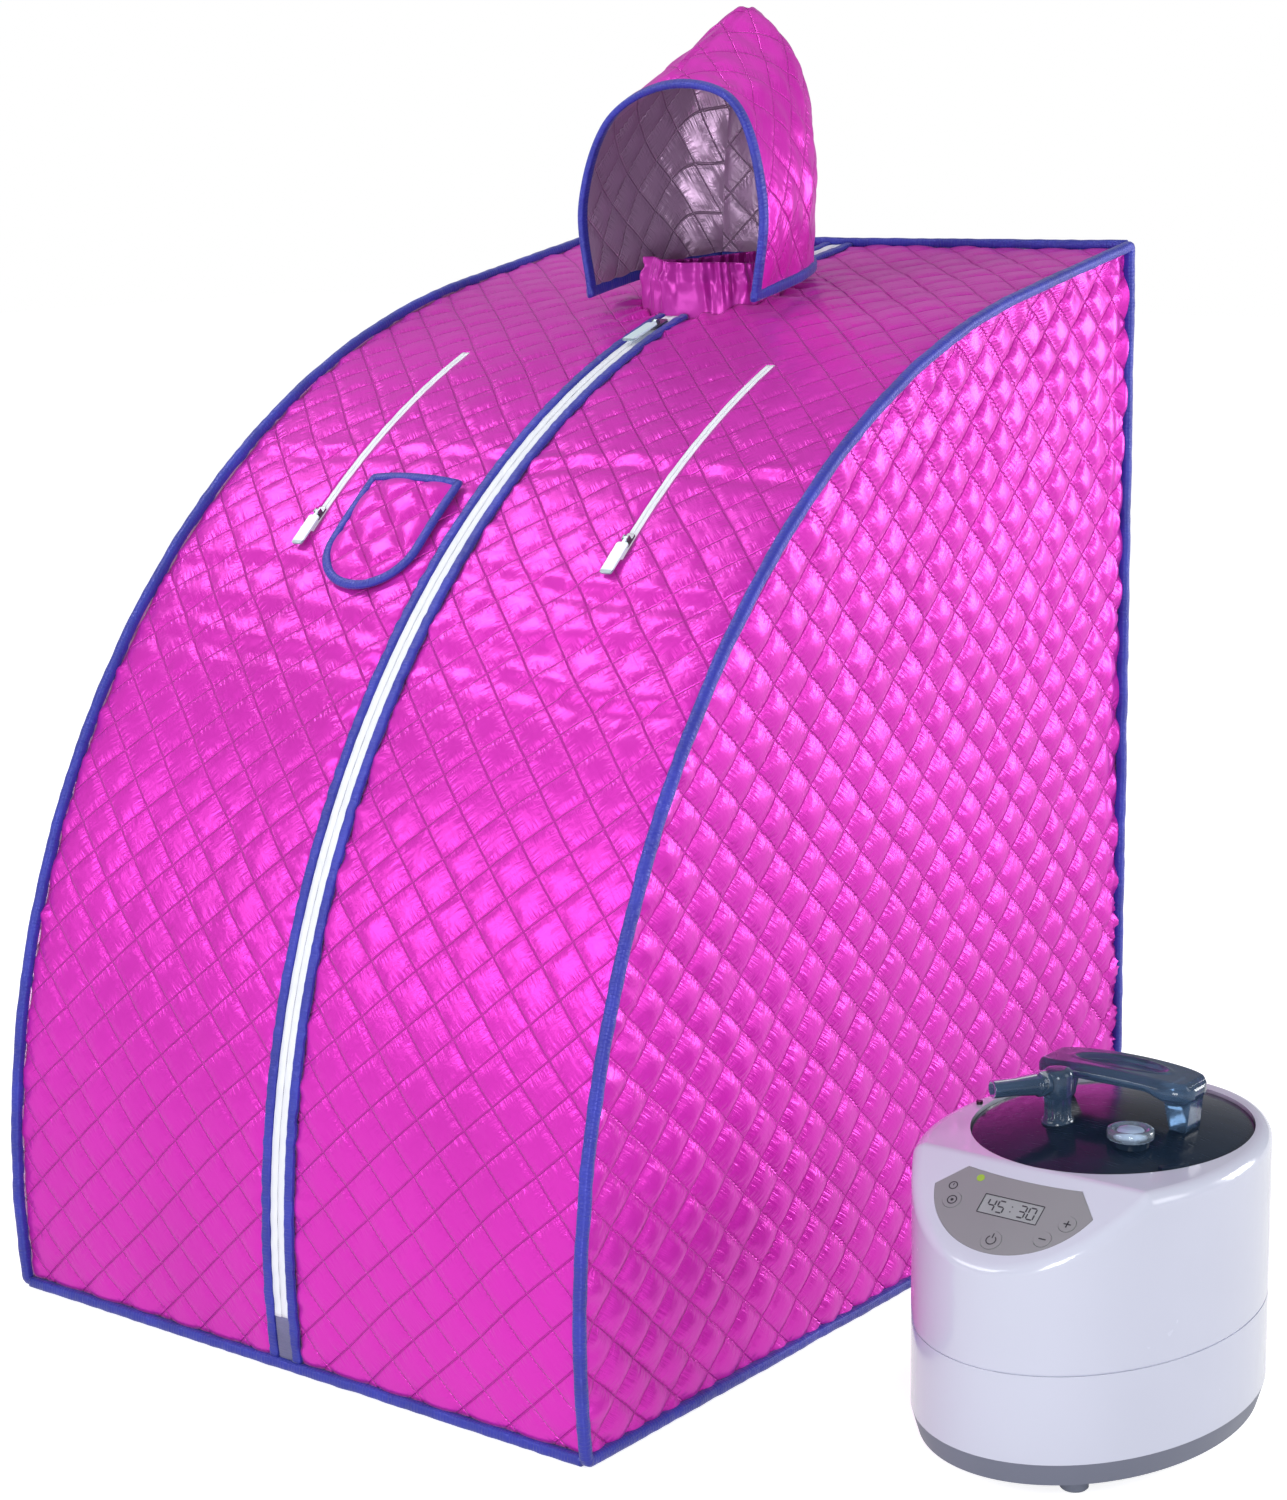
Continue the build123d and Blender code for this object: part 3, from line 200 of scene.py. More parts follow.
CREST_POINT = (BOW_CENTRE[0] - BOW * math.sin(CREST), BOW_CENTRE[1] + BOW * math.cos(CREST))
ROOF_RUN = (BACK_Y - QUILT - CREST_POINT[0]) / math.cos(CREST)
ARM_HIGH = BOW * (FOOT_TURN - math.radians(23.8))
ARM_LOW = BOW * (FOOT_TURN - math.radians(43.0))
POCKET_X = -0.095
POCKET_HALF = 0.058
POCKET_LENGTH = 0.138
POCKET_RUN = BOW * (FOOT_TURN - math.radians(38.0)) - POCKET_LENGTH / 2
SOFT_STEP = {"interpolation_type": "SMOOTHSTEP"}


def ripple(a, b, length, seed, waves=14):
    """Smooth uneven waves of about the given length, between -1 and 1, over coordinates in metres."""
    rng = np.random.default_rng(seed)
    total = np.zeros_like(np.asarray(a, float))
    for _ in range(waves):
        turn, phase = rng.uniform(0, 2 * math.pi, 2)
        k = 2 * math.pi / (length * rng.uniform(0.7, 1.6))
        total += np.sin(k * (np.cos(turn) * a + np.sin(turn) * b) + phase)
    return total / math.sqrt(waves * 2)


def diamonds(a, b, seed, shift):
    """The two diagonal stitch coordinates, whole numbers on the seams, wavering as hand-fed cloth does."""
    a, b = a - shift[0], b - shift[1]
    u = a / DIAMOND_ACROSS + b / DIAMOND_UP + 0.035 * ripple(a, b, 0.16, seed)
    v = a / DIAMOND_ACROSS - b / DIAMOND_UP + 0.035 * ripple(a, b, 0.16, seed + 1)
    return u, v


def puff(u, v, seed):
    """Height of the cushioned diamonds, from 0 in the seams to 1, each filled a little differently."""
    du = np.abs(u - np.round(u)) * 2
    dv = np.abs(v - np.round(v)) * 2
    rise = (1 - (1 - du) ** 2.8) * (1 - (1 - dv) ** 2.8)
    cell = np.floor(u) * 12.9898 + np.floor(v) * 78.233 + seed
    fill, lean_u, lean_v = (np.modf(np.abs(np.sin(cell + k)) * 43758.5453)[0] for k in range(3))
    lean = (lean_u - 0.5) * (u - np.floor(u) - 0.5) + (lean_v - 0.5) * (v - np.floor(v) - 0.5)
    return rise ** 0.8 * (0.82 + 0.36 * fill + 0.9 * lean)


def dye(tree, colour, texture, low, high, stop=0.7):
    """A colour whose brightness drifts between low and high with a texture, as dyed or moulded stuff does."""
    drift = add(tree, "MapRange", Value=texture, p1=0.3, p2=stop, p3=low, p4=high)
    return add(tree, "HueSaturation", Color=tint(colour), Value=drift)


def satin(name, colour, gloss=0.31, metal=0.34, quilted=True):
    """Polyester satin, woven and calendered: a broad coloured sheen, puckers drawn in along each seam, and
    painted shade in the seams' grooves.
    """
    material, tree, place = paint(name)
    lattice = add(tree, "UVMap", {"uv_map": "seams"})
    split = add(tree, "SeparateXYZ", Vector=lattice)
    near = [add(tree, "Math", {"operation": "PINGPONG"}, p0=split.outputs[k], p1=0.5) for k in (0, 1)]
    seam = add(tree, "Math", {"operation": "MINIMUM"}, p0=near[0], p1=near[1])
    # puckers run square to a seam: stretched noise, strongest beside the thread
    pulls = []
    for beside, squeeze in zip(near, ((0.8, 7.0, 1), (7.0, 0.8, 1))):
        lay = add(tree, "Mapping", Vector=lattice, Scale=squeeze)
        crease = add(tree, "TexNoise", {"noise_dimensions": "2D"}, Vector=lay, Scale=1.0, Detail=3.0,
                     Roughness=0.6)
        fade = add(tree, "MapRange", SOFT_STEP, Value=beside, p1=0.0, p2=0.42, p3=1.0, p4=0.08)
        pulls.append(add(tree, "Math", {"operation": "MULTIPLY"}, p0=crease, p1=fade))
    groove = add(tree, "MapRange", SOFT_STEP, Value=seam, p1=0.0, p2=0.035,
                 p3=-0.9 if quilted else 0.0, p4=0.0)
    height = add(tree, "Math", {"operation": "ADD"}, p0=pulls[0], p1=pulls[1])
    height = add(tree, "Math", {"operation": "ADD"}, p0=height, p1=groove)
    crumple = add(tree, "TexNoise", Vector=place, Scale=34.0, Detail=4.0, Roughness=0.55, Distortion=0.6)
    height = add(tree, "Math", {"operation": "MULTIPLY_ADD"}, p0=crumple, p1=0.55, p2=height)
    lumps = add(tree, "Bump", Strength=0.7, Distance=0.0022, Height=height)
    # threads 0.7 mm apart, about twice the real ones, so that they show
    weave = add(tree, "TexNoise", Vector=place, Scale=1400.0, Detail=1.0)
    fine = add(tree, "Bump", Strength=0.12, Distance=0.0004, Height=weave, Normal=lumps)
    drift = add(tree, "TexNoise", Vector=place, Scale=5.0, Detail=2.0)
    worn = add(tree, "MapRange", Value=drift, p1=0.3, p2=0.7, p3=0.94, p4=1.06)
    # painted shade: the colour is darkened to 0.88 in the thin groove along each quilted seam
    seam_shade = add(tree, "MapRange", SOFT_STEP, Value=seam, p1=0.004, p2=0.03,
                 p3=0.88 if quilted else 1.0, p4=1.0)
    tone = add(tree, "Math", {"operation": "MULTIPLY"}, p0=worn, p1=seam_shade)
    dyed = add(tree, "HueSaturation", Color=tint(colour), Value=tone)
    show(tree, add(tree, "BsdfPrincipled", Base_Color=dyed, Metallic=metal, Roughness=gloss,
                   Specular_Tint=tint("#ffcbfa"), Sheen_Weight=0.20, Sheen_Roughness=0.4,
                   Sheen_Tint=tint("#ffb4f4"), Normal=fine))
    return material


satin_magenta = satin("magenta_polyester_satin", "#d82dba")
# aluminised cloth: a dull mirror with a mauve cast from the satin behind it
foil_lining = satin("mauve_foil_lining", "#a88eaa", gloss=0.33, metal=0.45)


def grid_faces(number):
    """The four-cornered faces between the numbered points of a grid."""
    return np.stack([number[:-1, :-1], number[:-1, 1:], number[1:, 1:], number[1:, :-1]], -1)


def wall(name, a, b, place, rise, thick, body, quilting, keep=None, snap=None, flip=False, deep=0.0,
         material=(satin_magenta, foil_lining)):
    """A quilted wall over a grid of flat coordinates: a puffed outer layer, a lining and closed edges."""
    points, normals = place(a, b)
    u, v = diamonds(a, b, *quilting)
    outer = points + normals * rise(a, b, u, v)[..., None]
    inner = points - normals * (thick + deep * puff(u, v, quilting[0]))[..., None]
    n = a.size
    front = grid_faces(np.arange(n).reshape(a.shape))
    front = front.reshape(-1, 4) if keep is None else front[keep]
    pairs = dict.fromkeys((int(q[i]), int(q[i - 3])) for q in front for i in range(4))
    edges = [pair for pair in pairs if pair[::-1] not in pairs]
    faces = np.concatenate([front, front[:, ::-1] + n, [(two, one, one + n, two + n) for one, two in edges]])
    verts = np.concatenate([outer.reshape(-1, 3), inner.reshape(-1, 3)])
    if snap is not None:
        verts = snap(verts, edges, n)
    kept = np.unique(faces)
    new = -np.ones(len(verts), int)
    new[kept] = np.arange(len(kept))
    seams = np.tile(np.stack([u.ravel(), v.ravel()], -1), (2, 1))
    lining = np.zeros(len(faces), int)
    lining[len(front):len(front) * 2] = 1
    piece = mesh_piece(name, verts[kept], new[faces], material, body, maps={"seams": seams[kept]},
                       second=lining)
    if flip:
        piece.data.flip_normals()
    return piece


def along_front(run, depth=0.0):
    """Side view place and outward direction at a run up the front from the ground line, as y, z, ny, nz."""
    run = np.asarray(run, float)
    turn = np.maximum(FOOT_TURN - run / BOW, CREST)
    ny, nz = -np.sin(turn), np.cos(turn)
    past = np.maximum(run - CREST_RUN, 0)
    y = BOW_CENTRE[0] + BOW * ny + past * math.cos(CREST)
    z = BOW_CENTRE[1] + BOW * nz + past * math.sin(CREST)
    return y - ny * depth, z - nz * depth, ny, nz


def front_place(side):
    """The front panel's points and outward directions on one side of the zip."""
    def place(a, b):
        y, z, ny, nz = along_front(b)
        return np.stack([side * a, y, z], -1), np.stack([a * 0, ny, nz], -1)
    return place


def front_rise(side, seed):
    """Puffed diamonds, slack folds below the arms and puckers where the cloth is sewn into its bindings."""
    def rise(a, b, u, v):
        h = WADDING * puff(u, v, seed) - 0.0032
        h += 0.0014 * ripple(a, b, 0.30, seed + 5) + 0.0006 * ripple(a * 3, b * 0.6, 0.22, seed + 6)
        for level, reach in ((0.655, 0.010), (0.705, 0.014), (0.760, 0.010), (0.905, 0.008)):
            line = level + 0.018 * ripple(a, a * 0, 0.35, int(level * 1000) + seed)
            fall = 0.6 + 0.4 * ripple(a, b * 0, 0.12, seed + 9)
            h -= 0.0034 * np.exp(-((b - line) / reach) ** 2) * fall
            h += 0.0020 * np.exp(-((b - line) / reach - 1.7) ** 2) * fall
        edge = np.minimum(a - ZIP_EDGE, HALF_WIDTH - QUILT - a)
        h += 0.0016 * np.exp(-edge / 0.010) * ripple(a * 0.4, b, 0.017, seed + 7)
        h -= 0.0016 * np.exp(-edge / 0.006)
        y = along_front(b)[0]
        off = np.hypot(a, y - NECK_Y) - NECK_RADIUS
        turn = np.arctan2(y - NECK_Y, a)
        h += 0.0034 * np.exp(-np.maximum(off, 0) / 0.026) * np.sin(17 * turn + 1.6 * np.sin(3 * turn + seed))
        # pressed flat beside the arm's zip and under the pocket
        off = np.hypot(np.maximum(np.abs(a - ARM_X) - ARM_HALF, 0),
                       np.maximum(np.abs(b - (ARM_LOW + ARM_HIGH) / 2) - (ARM_HIGH - ARM_LOW) / 2, 0))
        h = h * (1 - np.exp(-(off / 0.009) ** 2)) - 0.0012 * np.exp(-(off / 0.006) ** 2)
        off = np.hypot(np.maximum(np.abs(side * a - POCKET_X) - POCKET_HALF + 0.004, 0),
                       np.maximum(np.abs(b - POCKET_RUN) - POCKET_LENGTH / 2 + 0.004, 0))
        h = np.where(h > -0.001, -0.001 + (h + 0.001) * (1 - np.exp(-(off / 0.008) ** 2)), h)
        return np.clip(h, -0.0042, 0.0034)
    return rise


def middle(a):
    """Middles of the grid's faces."""
    return (a[:-1, :-1] + a[1:, 1:]) / 2


def hole_edge(centre, radius, axes, free):
    """Draws the cut edge of a hole on to its circle, in two axes, where its points are free to move."""
    def snap(verts, edges, n):
        rim = np.unique(edges)
        rim = np.concatenate([rim, rim + n])
        off = verts[rim][:, axes] - centre
        gap = np.hypot(off[:, 0], off[:, 1])
        near = (gap < radius + 0.008) & free(verts[rim], gap)
        verts[np.ix_(rim[near], axes)] = centre + off[near] * radius / gap[near][:, None]
        return verts
    return snap


def steps(*stops, size=0.004):
    """Grid lines through all the stops, about a size apart."""
    rows = [np.linspace(p, q, max(2, round((q - p) / size) + 1))[:-1] for p, q in zip(stops, stops[1:])]
    return np.concatenate(rows + [[stops[-1]]])


columns = steps(ZIP_EDGE - 0.001, ARM_X - ARM_HALF, ARM_X + ARM_HALF, HALF_WIDTH - 0.003)
grid_x, grid_run = np.meshgrid(columns, steps(FOOT_Z, ARM_LOW, ARM_HIGH, CREST_RUN + ROOF_RUN))
mid_x, mid_run = middle(grid_x), middle(grid_run)
slit = (np.abs(mid_x - ARM_X) < ARM_HALF) & (mid_run > ARM_LOW) & (mid_run < ARM_HIGH)
neck = mid_x ** 2 + (along_front(mid_run)[0] - NECK_Y) ** 2 < NECK_RADIUS ** 2
neck_edge = hole_edge((0, NECK_Y), NECK_RADIUS, [0, 1], lambda p, gap: (
    (gap > 0.3 * NECK_RADIUS) & (p[:, 2] > 0.8) & (np.abs(p[:, 0]) > ZIP_EDGE + 1e-5)))
for side, label, seed in ((1, "right", 11), (-1, "left", 47)):
    panel = wall(f"front_panel_cloth_{label}", grid_x, grid_run, front_place(side), front_rise(side, seed),
                 QUILT - 0.001, "tent", (seed, (0.213, 0.218)), keep=~(slit | neck), snap=neck_edge,
                 flip=side < 0)
    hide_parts(f"front_panel_{label}")

# ---------------------------------------------------------------- side panels
# A quilted wall at each side, cut to the bow's profile. The satin is eased into the curved seam, so it
# gathers in small folds beside the blue binding.
SIDE_WADDING = 0.0058
UNDER = 0.0022


def front_edge(z, inset):
    """Where the side wall's front edge is at a height: on the curve, then on the straight roof line."""
    r = BOW - inset
    curve = BOW_CENTRE[0] - r * np.sqrt(1 - np.clip((z - BOW_CENTRE[1]) / r, -1, 1) ** 2)
    roof = CREST_POINT[0] + (z + inset / math.cos(CREST) - CREST_POINT[1]) / math.tan(CREST)
    return np.where(z < BOW_CENTRE[1] + r * math.cos(CREST), curve, roof)


def flat_place(origin, across, up, out):
    """A flat wall's points and outward directions, over distances across and up from its origin."""
    def place(a, b):
        points = np.array(origin, float) + a[..., None] * across + b[..., None] * up
        return points, np.broadcast_to(np.array(out, float), points.shape)
    return place


def side_rise(seed):
    """Puffed diamonds, a broad slack, and gathers along the curved seam."""
    def rise(a, b, u, v):
        h = SIDE_WADDING * puff(u, v, seed) - 0.0035
        h += 0.0016 * ripple(a, b, 0.34, seed + 5)
        edge = np.minimum(BOW - np.hypot(a - BOW_CENTRE[0], b - BOW_CENTRE[1]), BACK_Y - a)
        turn = np.arctan2(BOW_CENTRE[0] - a, b - BOW_CENTRE[1]) * BOW
        h += 0.0050 * np.exp(-np.maximum(edge, 0) / 0.018) * ripple(turn, edge * 0.3, 0.026, seed + 7)
        h -= 0.0018 * np.exp(-np.maximum(edge, 0) / 0.005)
        return np.clip(h, -0.0042, 0.0045)
    return rise


side_top = CREST_POINT[1] + (BACK_Y - UNDER - CREST_POINT[0]) * math.tan(CREST) - UNDER / math.cos(CREST)
heights = np.concatenate([steps(FOOT_Z - 0.004, 0.86, size=0.0045)[:-1], steps(0.86, 0.93, size=0.003)[:-1],
                          steps(0.93, side_top - 0.0004, size=0.0022)])
shares = np.linspace(0, 1, 200)
grid_z = np.repeat(heights[:, None], len(shares), 1)
edge_y = front_edge(heights, UNDER)[:, None]
grid_y = edge_y + (BACK_Y - UNDER - edge_y) * shares[None, :]
for side, label, seed in ((1, "right", 83), (-1, "left", 121)):
    panel = wall(f"side_panel_cloth_{label}", grid_y, grid_z,
                 flat_place((side * HALF_WIDTH, 0, 0), (0, 1, 0), (0, 0, 1), (side, 0, 0)), side_rise(seed),
                 QUILT - 0.001, "tent", (seed, (-0.0062, 0.6760)), flip=side < 0)
    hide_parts(f"side_panel_{label}")

# ---------------------------------------------------------------- back panel
# The plain rear wall, quilted like the rest, with a round hole low on one side for the hose port.
PORT = (0.210, 0.170)
PORT_HOLE = 0.0202
ROOF_EDGE_Z = CREST_POINT[1] + (BACK_Y - CREST_POINT[0]) * math.tan(CREST)


def back_rise(a, b, u, v):
    """Puffed diamonds, a broad slack, and puckers along the bound edges."""
    edge = np.minimum(HALF_WIDTH - QUILT - np.abs(a), np.minimum(ROOF_EDGE_Z - PIPE - b, b - FOOT_Z))
    h = WADDING * puff(u, v, 5) - 0.0030 + 0.0020 * ripple(a, b, 0.36, 206)
    h += 0.0016 * np.exp(-np.maximum(edge, 0) / 0.012) * ripple(a + b, a - b, 0.020, 207)
    return h - 0.0016 * np.exp(-np.maximum(edge, 0) / 0.005)


grid_x, grid_z = np.meshgrid(steps(QUILT - HALF_WIDTH, HALF_WIDTH - QUILT, size=0.0055),
                             steps(0.0042, ROOF_EDGE_Z - PIPE, size=0.0055))
panel = wall("back_panel_cloth", grid_x, grid_z, flat_place((0, BACK_Y, 0), (-1, 0, 0), (0, 0, 1), (0, 1, 0)),
             back_rise, QUILT - 0.001, "tent", (5, (0.0, 0.02)),
             keep=np.hypot(-middle(grid_x) - PORT[0], middle(grid_z) - PORT[1]) > PORT_HOLE,
             snap=hole_edge(PORT, PORT_HOLE, [0, 2], lambda p, gap: p[:, 2] > 0))
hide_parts("back_panel")

# ---------------------------------------------------------------- floor sheet
# A thin padded mat of coated cloth, sewn in round its edge.
coated_cloth, tree, place = paint("grey_coated_polyester")
weave = add(tree, "TexChecker", Vector=place, Scale=1250.0)
stain = add(tree, "TexNoise", Vector=place, Scale=7.0, Detail=4.0)
# coated on one side: a dull grey with the 0.8 mm weave showing through
show(tree, add(tree, "BsdfPrincipled", Base_Color=dye(tree, "#43434f", stain, 0.85, 1.1), Roughness=0.55,
               Normal=add(tree, "Bump", Strength=0.3, Distance=0.0002, Height=weave.outputs["Fac"])))
grid_x, grid_y = np.meshgrid(steps(-HALF_WIDTH + PIPE, HALF_WIDTH - PIPE, size=0.009),
                             steps(-BACK_Y + PIPE, BACK_Y - QUILT, size=0.009))
mat = wall("floor_mat", grid_x, grid_y, flat_place((0, 0, 0.0034), (1, 0, 0), (0, 1, 0), (0, 0, 1)),
           lambda a, b, u, v: 0.0006 * puff(u, v, 9), 0.0032, "tent", (9, (0.0, 0.0)),
           material=[coated_cloth, coated_cloth])
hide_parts("floor_panel")

# ---------------------------------------------------------------- bound seams
# Blue satin tape folded over every outer seam and stitched through, a little uneven, as it is run on by
# hand. It follows the tent's outline on both sides, and runs across at the front, the rear and the top.
SEAM_STEP = 0.003
SIDE_BAR = (0.0054, 0.0053)
HEM_BAR = (0.0053, 0.0052)


def unit(v):
    """Vectors at length one."""
    return v / np.maximum(np.linalg.norm(v, axis=-1), 1e-9)[..., None]


def sweep(name, centre, side, up, section, material, body, loop=False):
    """A band swept along a path. Its section is offsets to the side and up, one set or one per step."""
    n, k = len(centre), np.shape(section)[-2]
    side, up = np.broadcast_to(side, centre.shape), np.broadcast_to(up, centre.shape)
    section = np.broadcast_to(section, (n, k, 2))
    ring = centre[:, None] + side[:, None] * section[..., :1] + up[:, None] * section[..., 1:]
    run = np.concatenate([[0], np.cumsum(np.linalg.norm(np.diff(centre, axis=0), axis=1))])
    number = np.arange(n * k).reshape(n, k)
    after = np.roll(number, -1, 0) if loop else number[1:]
    here = number if loop else number[:-1]
    quads = np.stack([here, np.roll(here, -1, 1), np.roll(after, -1, 1), after], -1).reshape(-1, 4).tolist()
    if not loop:
        quads += [number[0][::-1].tolist(), number[-1].tolist()]
    tape = np.stack([np.repeat(run[:, None], k, 1), np.tile(np.arange(k) / k, (n, 1))], -1)
    piece = mesh_piece(name, ring.reshape(-1, 3), quads, material, body, maps={"tape": tape.reshape(-1, 2)})
    p, q = section[0].T
    if np.cross(centre[1] - centre[0], side[0]) @ up[0] * np.sum(p * np.roll(q, -1) - np.roll(p, -1) * q) > 0:
        piece.data.flip_normals()
    return piece


def round_bar(half_side, half_up, points=14, square=3.0):
    """A section between an oval and a rectangle."""
    t = np.arange(points) * 2 * math.pi / points
    return np.stack([half * np.sign(wave) * np.abs(wave) ** (2 / square)
                     for half, wave in ((half_side, np.cos(t)), (half_up, np.sin(t)))], -1)


def ribs(tree, pitch):
    """Fine ribs across a tape: its map, the distance along it, and the ribs' waves."""
    lay = add(tree, "UVMap", {"uv_map": "tape"})
    along = add(tree, "SeparateXYZ", Vector=lay)
    turns = add(tree, "Math", {"operation": "MULTIPLY"}, p0=along, p1=2 * math.pi / pitch)
    return lay, along, add(tree, "Math", {"operation": "SINE"}, p0=turns)


def webbing(name, colour, gloss=0.42, metal=0.15, stitch_pitch=0.0034):
    """Woven satin tape: fine ribs across, running stitches, slight puckers and changes of shade."""
    material, tree, place = paint(name)
    lay, along, rib = ribs(tree, 0.0009)
    stretch = add(tree, "Mapping", Vector=lay, Scale=(160.0, 2.0, 1.0))
    pucker = add(tree, "TexNoise", {"noise_dimensions": "2D"}, Vector=stretch, Scale=1.0, Detail=3.0)
    stitch = add(tree, "Math", {"operation": "PINGPONG"}, p0=along, p1=stitch_pitch / 2)
    gap = add(tree, "MapRange", Value=stitch, p1=0.0, p2=stitch_pitch * 0.16, p3=0.0, p4=1.0)
    height = add(tree, "Math", {"operation": "MULTIPLY_ADD"}, p0=pucker, p1=5.0, p2=gap)
    lumps = add(tree, "Bump", Strength=0.5, Distance=0.0005, Height=height)
    fine = add(tree, "Bump", Strength=0.15, Distance=0.0002, Height=rib, Normal=lumps)
    drift = add(tree, "TexNoise", Vector=place, Scale=22.0, Detail=3.0)
    show(tree, add(tree, "BsdfPrincipled", Base_Color=dye(tree, colour, drift, 0.8, 1.15), Roughness=gloss,
                   Metallic=metal, Sheen_Weight=0.2, Sheen_Roughness=0.4, Normal=fine))
    return material


def run_at_z(z):
    """The run up the front at a height on the bow."""
    return BOW * (FOOT_TURN - math.acos((z - BOW_CENTRE[1]) / BOW))


blue_binding = webbing("blue_satin_binding", "#2f36a6")
y, z = along_front(steps(run_at_z(PIPE), CREST_RUN, CREST_RUN + (BACK_Y - CREST_POINT[0]) / math.cos(CREST),
                         size=SEAM_STEP))[:2]
down = np.linspace(ROOF_EDGE_Z, PIPE, 325)[1:]
back = np.linspace(BACK_Y, y[0], 300)[1:-1]
y = np.concatenate([y, np.full(len(down), BACK_Y), back])
z = np.concatenate([z, down, np.full(len(back), PIPE)])
for _ in range(2):
    y, z = ((np.roll(p, 1) + p + np.roll(p, -1)) / 3 for p in (y, z))
tangent = unit(np.stack([np.roll(y, -1) - np.roll(y, 1), np.roll(z, -1) - np.roll(z, 1)], -1))
up = np.stack([y * 0, -tangent[:, 1], tangent[:, 0]], -1)
run = np.arange(len(y)) * SEAM_STEP
for sign, label in ((1, "right"), (-1, "left")):
    wobble = 0.0005 * ripple(run, run * 0, 0.06, 300 + sign)
    centre = np.stack([sign * (HALF_WIDTH + 0.0002) + wobble, y, z], -1)
    centre[centre[:, 2] < 0.0056, 2] = 0.0057
    swell = 1 + 0.05 * ripple(run, run * 0, 0.018, 310 + sign)
    piece = sweep(f"side_seam_binding_{label}", centre, (1.0, 0, 0), up,
                  round_bar(*SIDE_BAR)[None] * swell[:, None, None], blue_binding, "tent", loop=True)
    if sign > 0:
        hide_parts("bow_piping")

span = steps(-HALF_WIDTH + 0.004, HALF_WIDTH - 0.004, size=SEAM_STEP)
for label, y, z in (("front", -BACK_Y, PIPE + 0.0001), ("rear", BACK_Y, PIPE + 0.0001),
                    ("top", BACK_Y, ROOF_EDGE_Z)):
    wobble = 0.0004 * ripple(span, span * 0, 0.07, 330 + len(label))
    centre = np.stack([span, span * 0 + y, span * 0 + z + np.abs(wobble)], -1)
    section = round_bar(*HEM_BAR)[None] * (1 + 0.05 * ripple(span, span * 0, 0.018, 340))[:, None, None]
    piece = sweep(f"hem_binding_{label}", centre, (0, 1.0, 0), (0, 0, 1.0), np.minimum(section, 0.00555),
                  blue_binding, "tent")
    if label == "front":
        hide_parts("hem_piping")

# ---------------------------------------------------------------- centre zip
# A white coil zip between two blue bound edges, from the grey patch at its foot to the neck, and behind the
# neck to the rear edge. The bindings' outer edges are drawn in at each stitch row.
TAPE_HALF = 0.009
BINDING_WIDE = 0.010
BINDING_PROUD = 0.0012
BINDING_DEEP = 0.0045
PATCH_TOP_RUN = run_at_z(0.052)
NECK_CLEAR = NECK_RADIUS - 0.0014
FRONT_END = BOW * (FOOT_TURN - math.asin((BOW_CENTRE[0] - NECK_Y + NECK_CLEAR) / BOW))
REAR_START = CREST_RUN + (NECK_Y + NECK_CLEAR - CREST_POINT[0]) / math.cos(CREST)
REAR_END = CREST_RUN + ROOF_RUN


def slope_frame(runs, x, depth=0.0):
    """Centre points, direction across and directions out, along the front at one distance from the middle."""
    y, z, ny, nz = along_front(runs, depth)
    return np.stack([runs * 0 + x, y, z], -1), (1.0, 0, 0), np.stack([runs * 0, ny, nz], -1)


for label, first, last in (("front", FOOT_Z, FRONT_END), ("rear", REAR_START, REAR_END)):
    for sign, hand in ((1, "right"), (-1, "left")):
        runs = steps(first, last, size=0.0025)
        bar = round_bar(BINDING_WIDE / 2, (BINDING_PROUD + BINDING_DEEP) / 2, 18, 4.0)
        section = np.tile(bar - (0, (BINDING_DEEP - BINDING_PROUD) / 2), (len(runs), 1, 1))
        outer = np.sign(section[..., 0]) == sign
        scallop = 0.0007 * ripple(runs, runs * 0, 0.017, 400 + sign)[:, None]
        swell = 0.0004 * ripple(runs, runs * 0, 0.012, 402 + sign)[:, None]
        section[..., 0] += np.where(outer, sign * (scallop + 0.0002), 0)
        section[..., 1] += np.where(section[..., 1] > 0, swell, 0)
        line = slope_frame(runs, sign * (TAPE_HALF + BINDING_WIDE / 2))
        piece = sweep(f"zip_binding_{label}_{hand}", *line, section, blue_binding, "tent")
        if label == "front" and sign > 0:
            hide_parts("zip_binding")

zip_white, tree, place = paint("white_polyester_zip_tape")
grime = add(tree, "TexNoise", Vector=place, Scale=30.0, Detail=4.0)
# woven polyester: matt white with 0.8 mm ribs, a little grey where it is handled
bump = add(tree, "Bump", Strength=0.25, Distance=0.0002, Height=ribs(tree, 0.0008)[2])
show(tree, add(tree, "BsdfPrincipled", Base_Color=dye(tree, "#f3f6fd", grime, 0.93, 1.0, stop=0.75),
               Roughness=0.55, Sheen_Weight=0.3, Normal=bump))
zip_coil, tree, place = paint("white_nylon_zip_coil")
grime = add(tree, "TexNoise", Vector=place, Scale=60.0, Detail=3.0)
# extruded nylon: smooth and milky, so light sinks in a little
show(tree, add(tree, "BsdfPrincipled", Base_Color=dye(tree, "#e3e8f2", grime, 0.88, 1.0, stop=0.75),
               Roughness=0.32, Subsurface_Weight=0.1, Subsurface_Radius=(0.0008, 0.0008, 0.0008)))


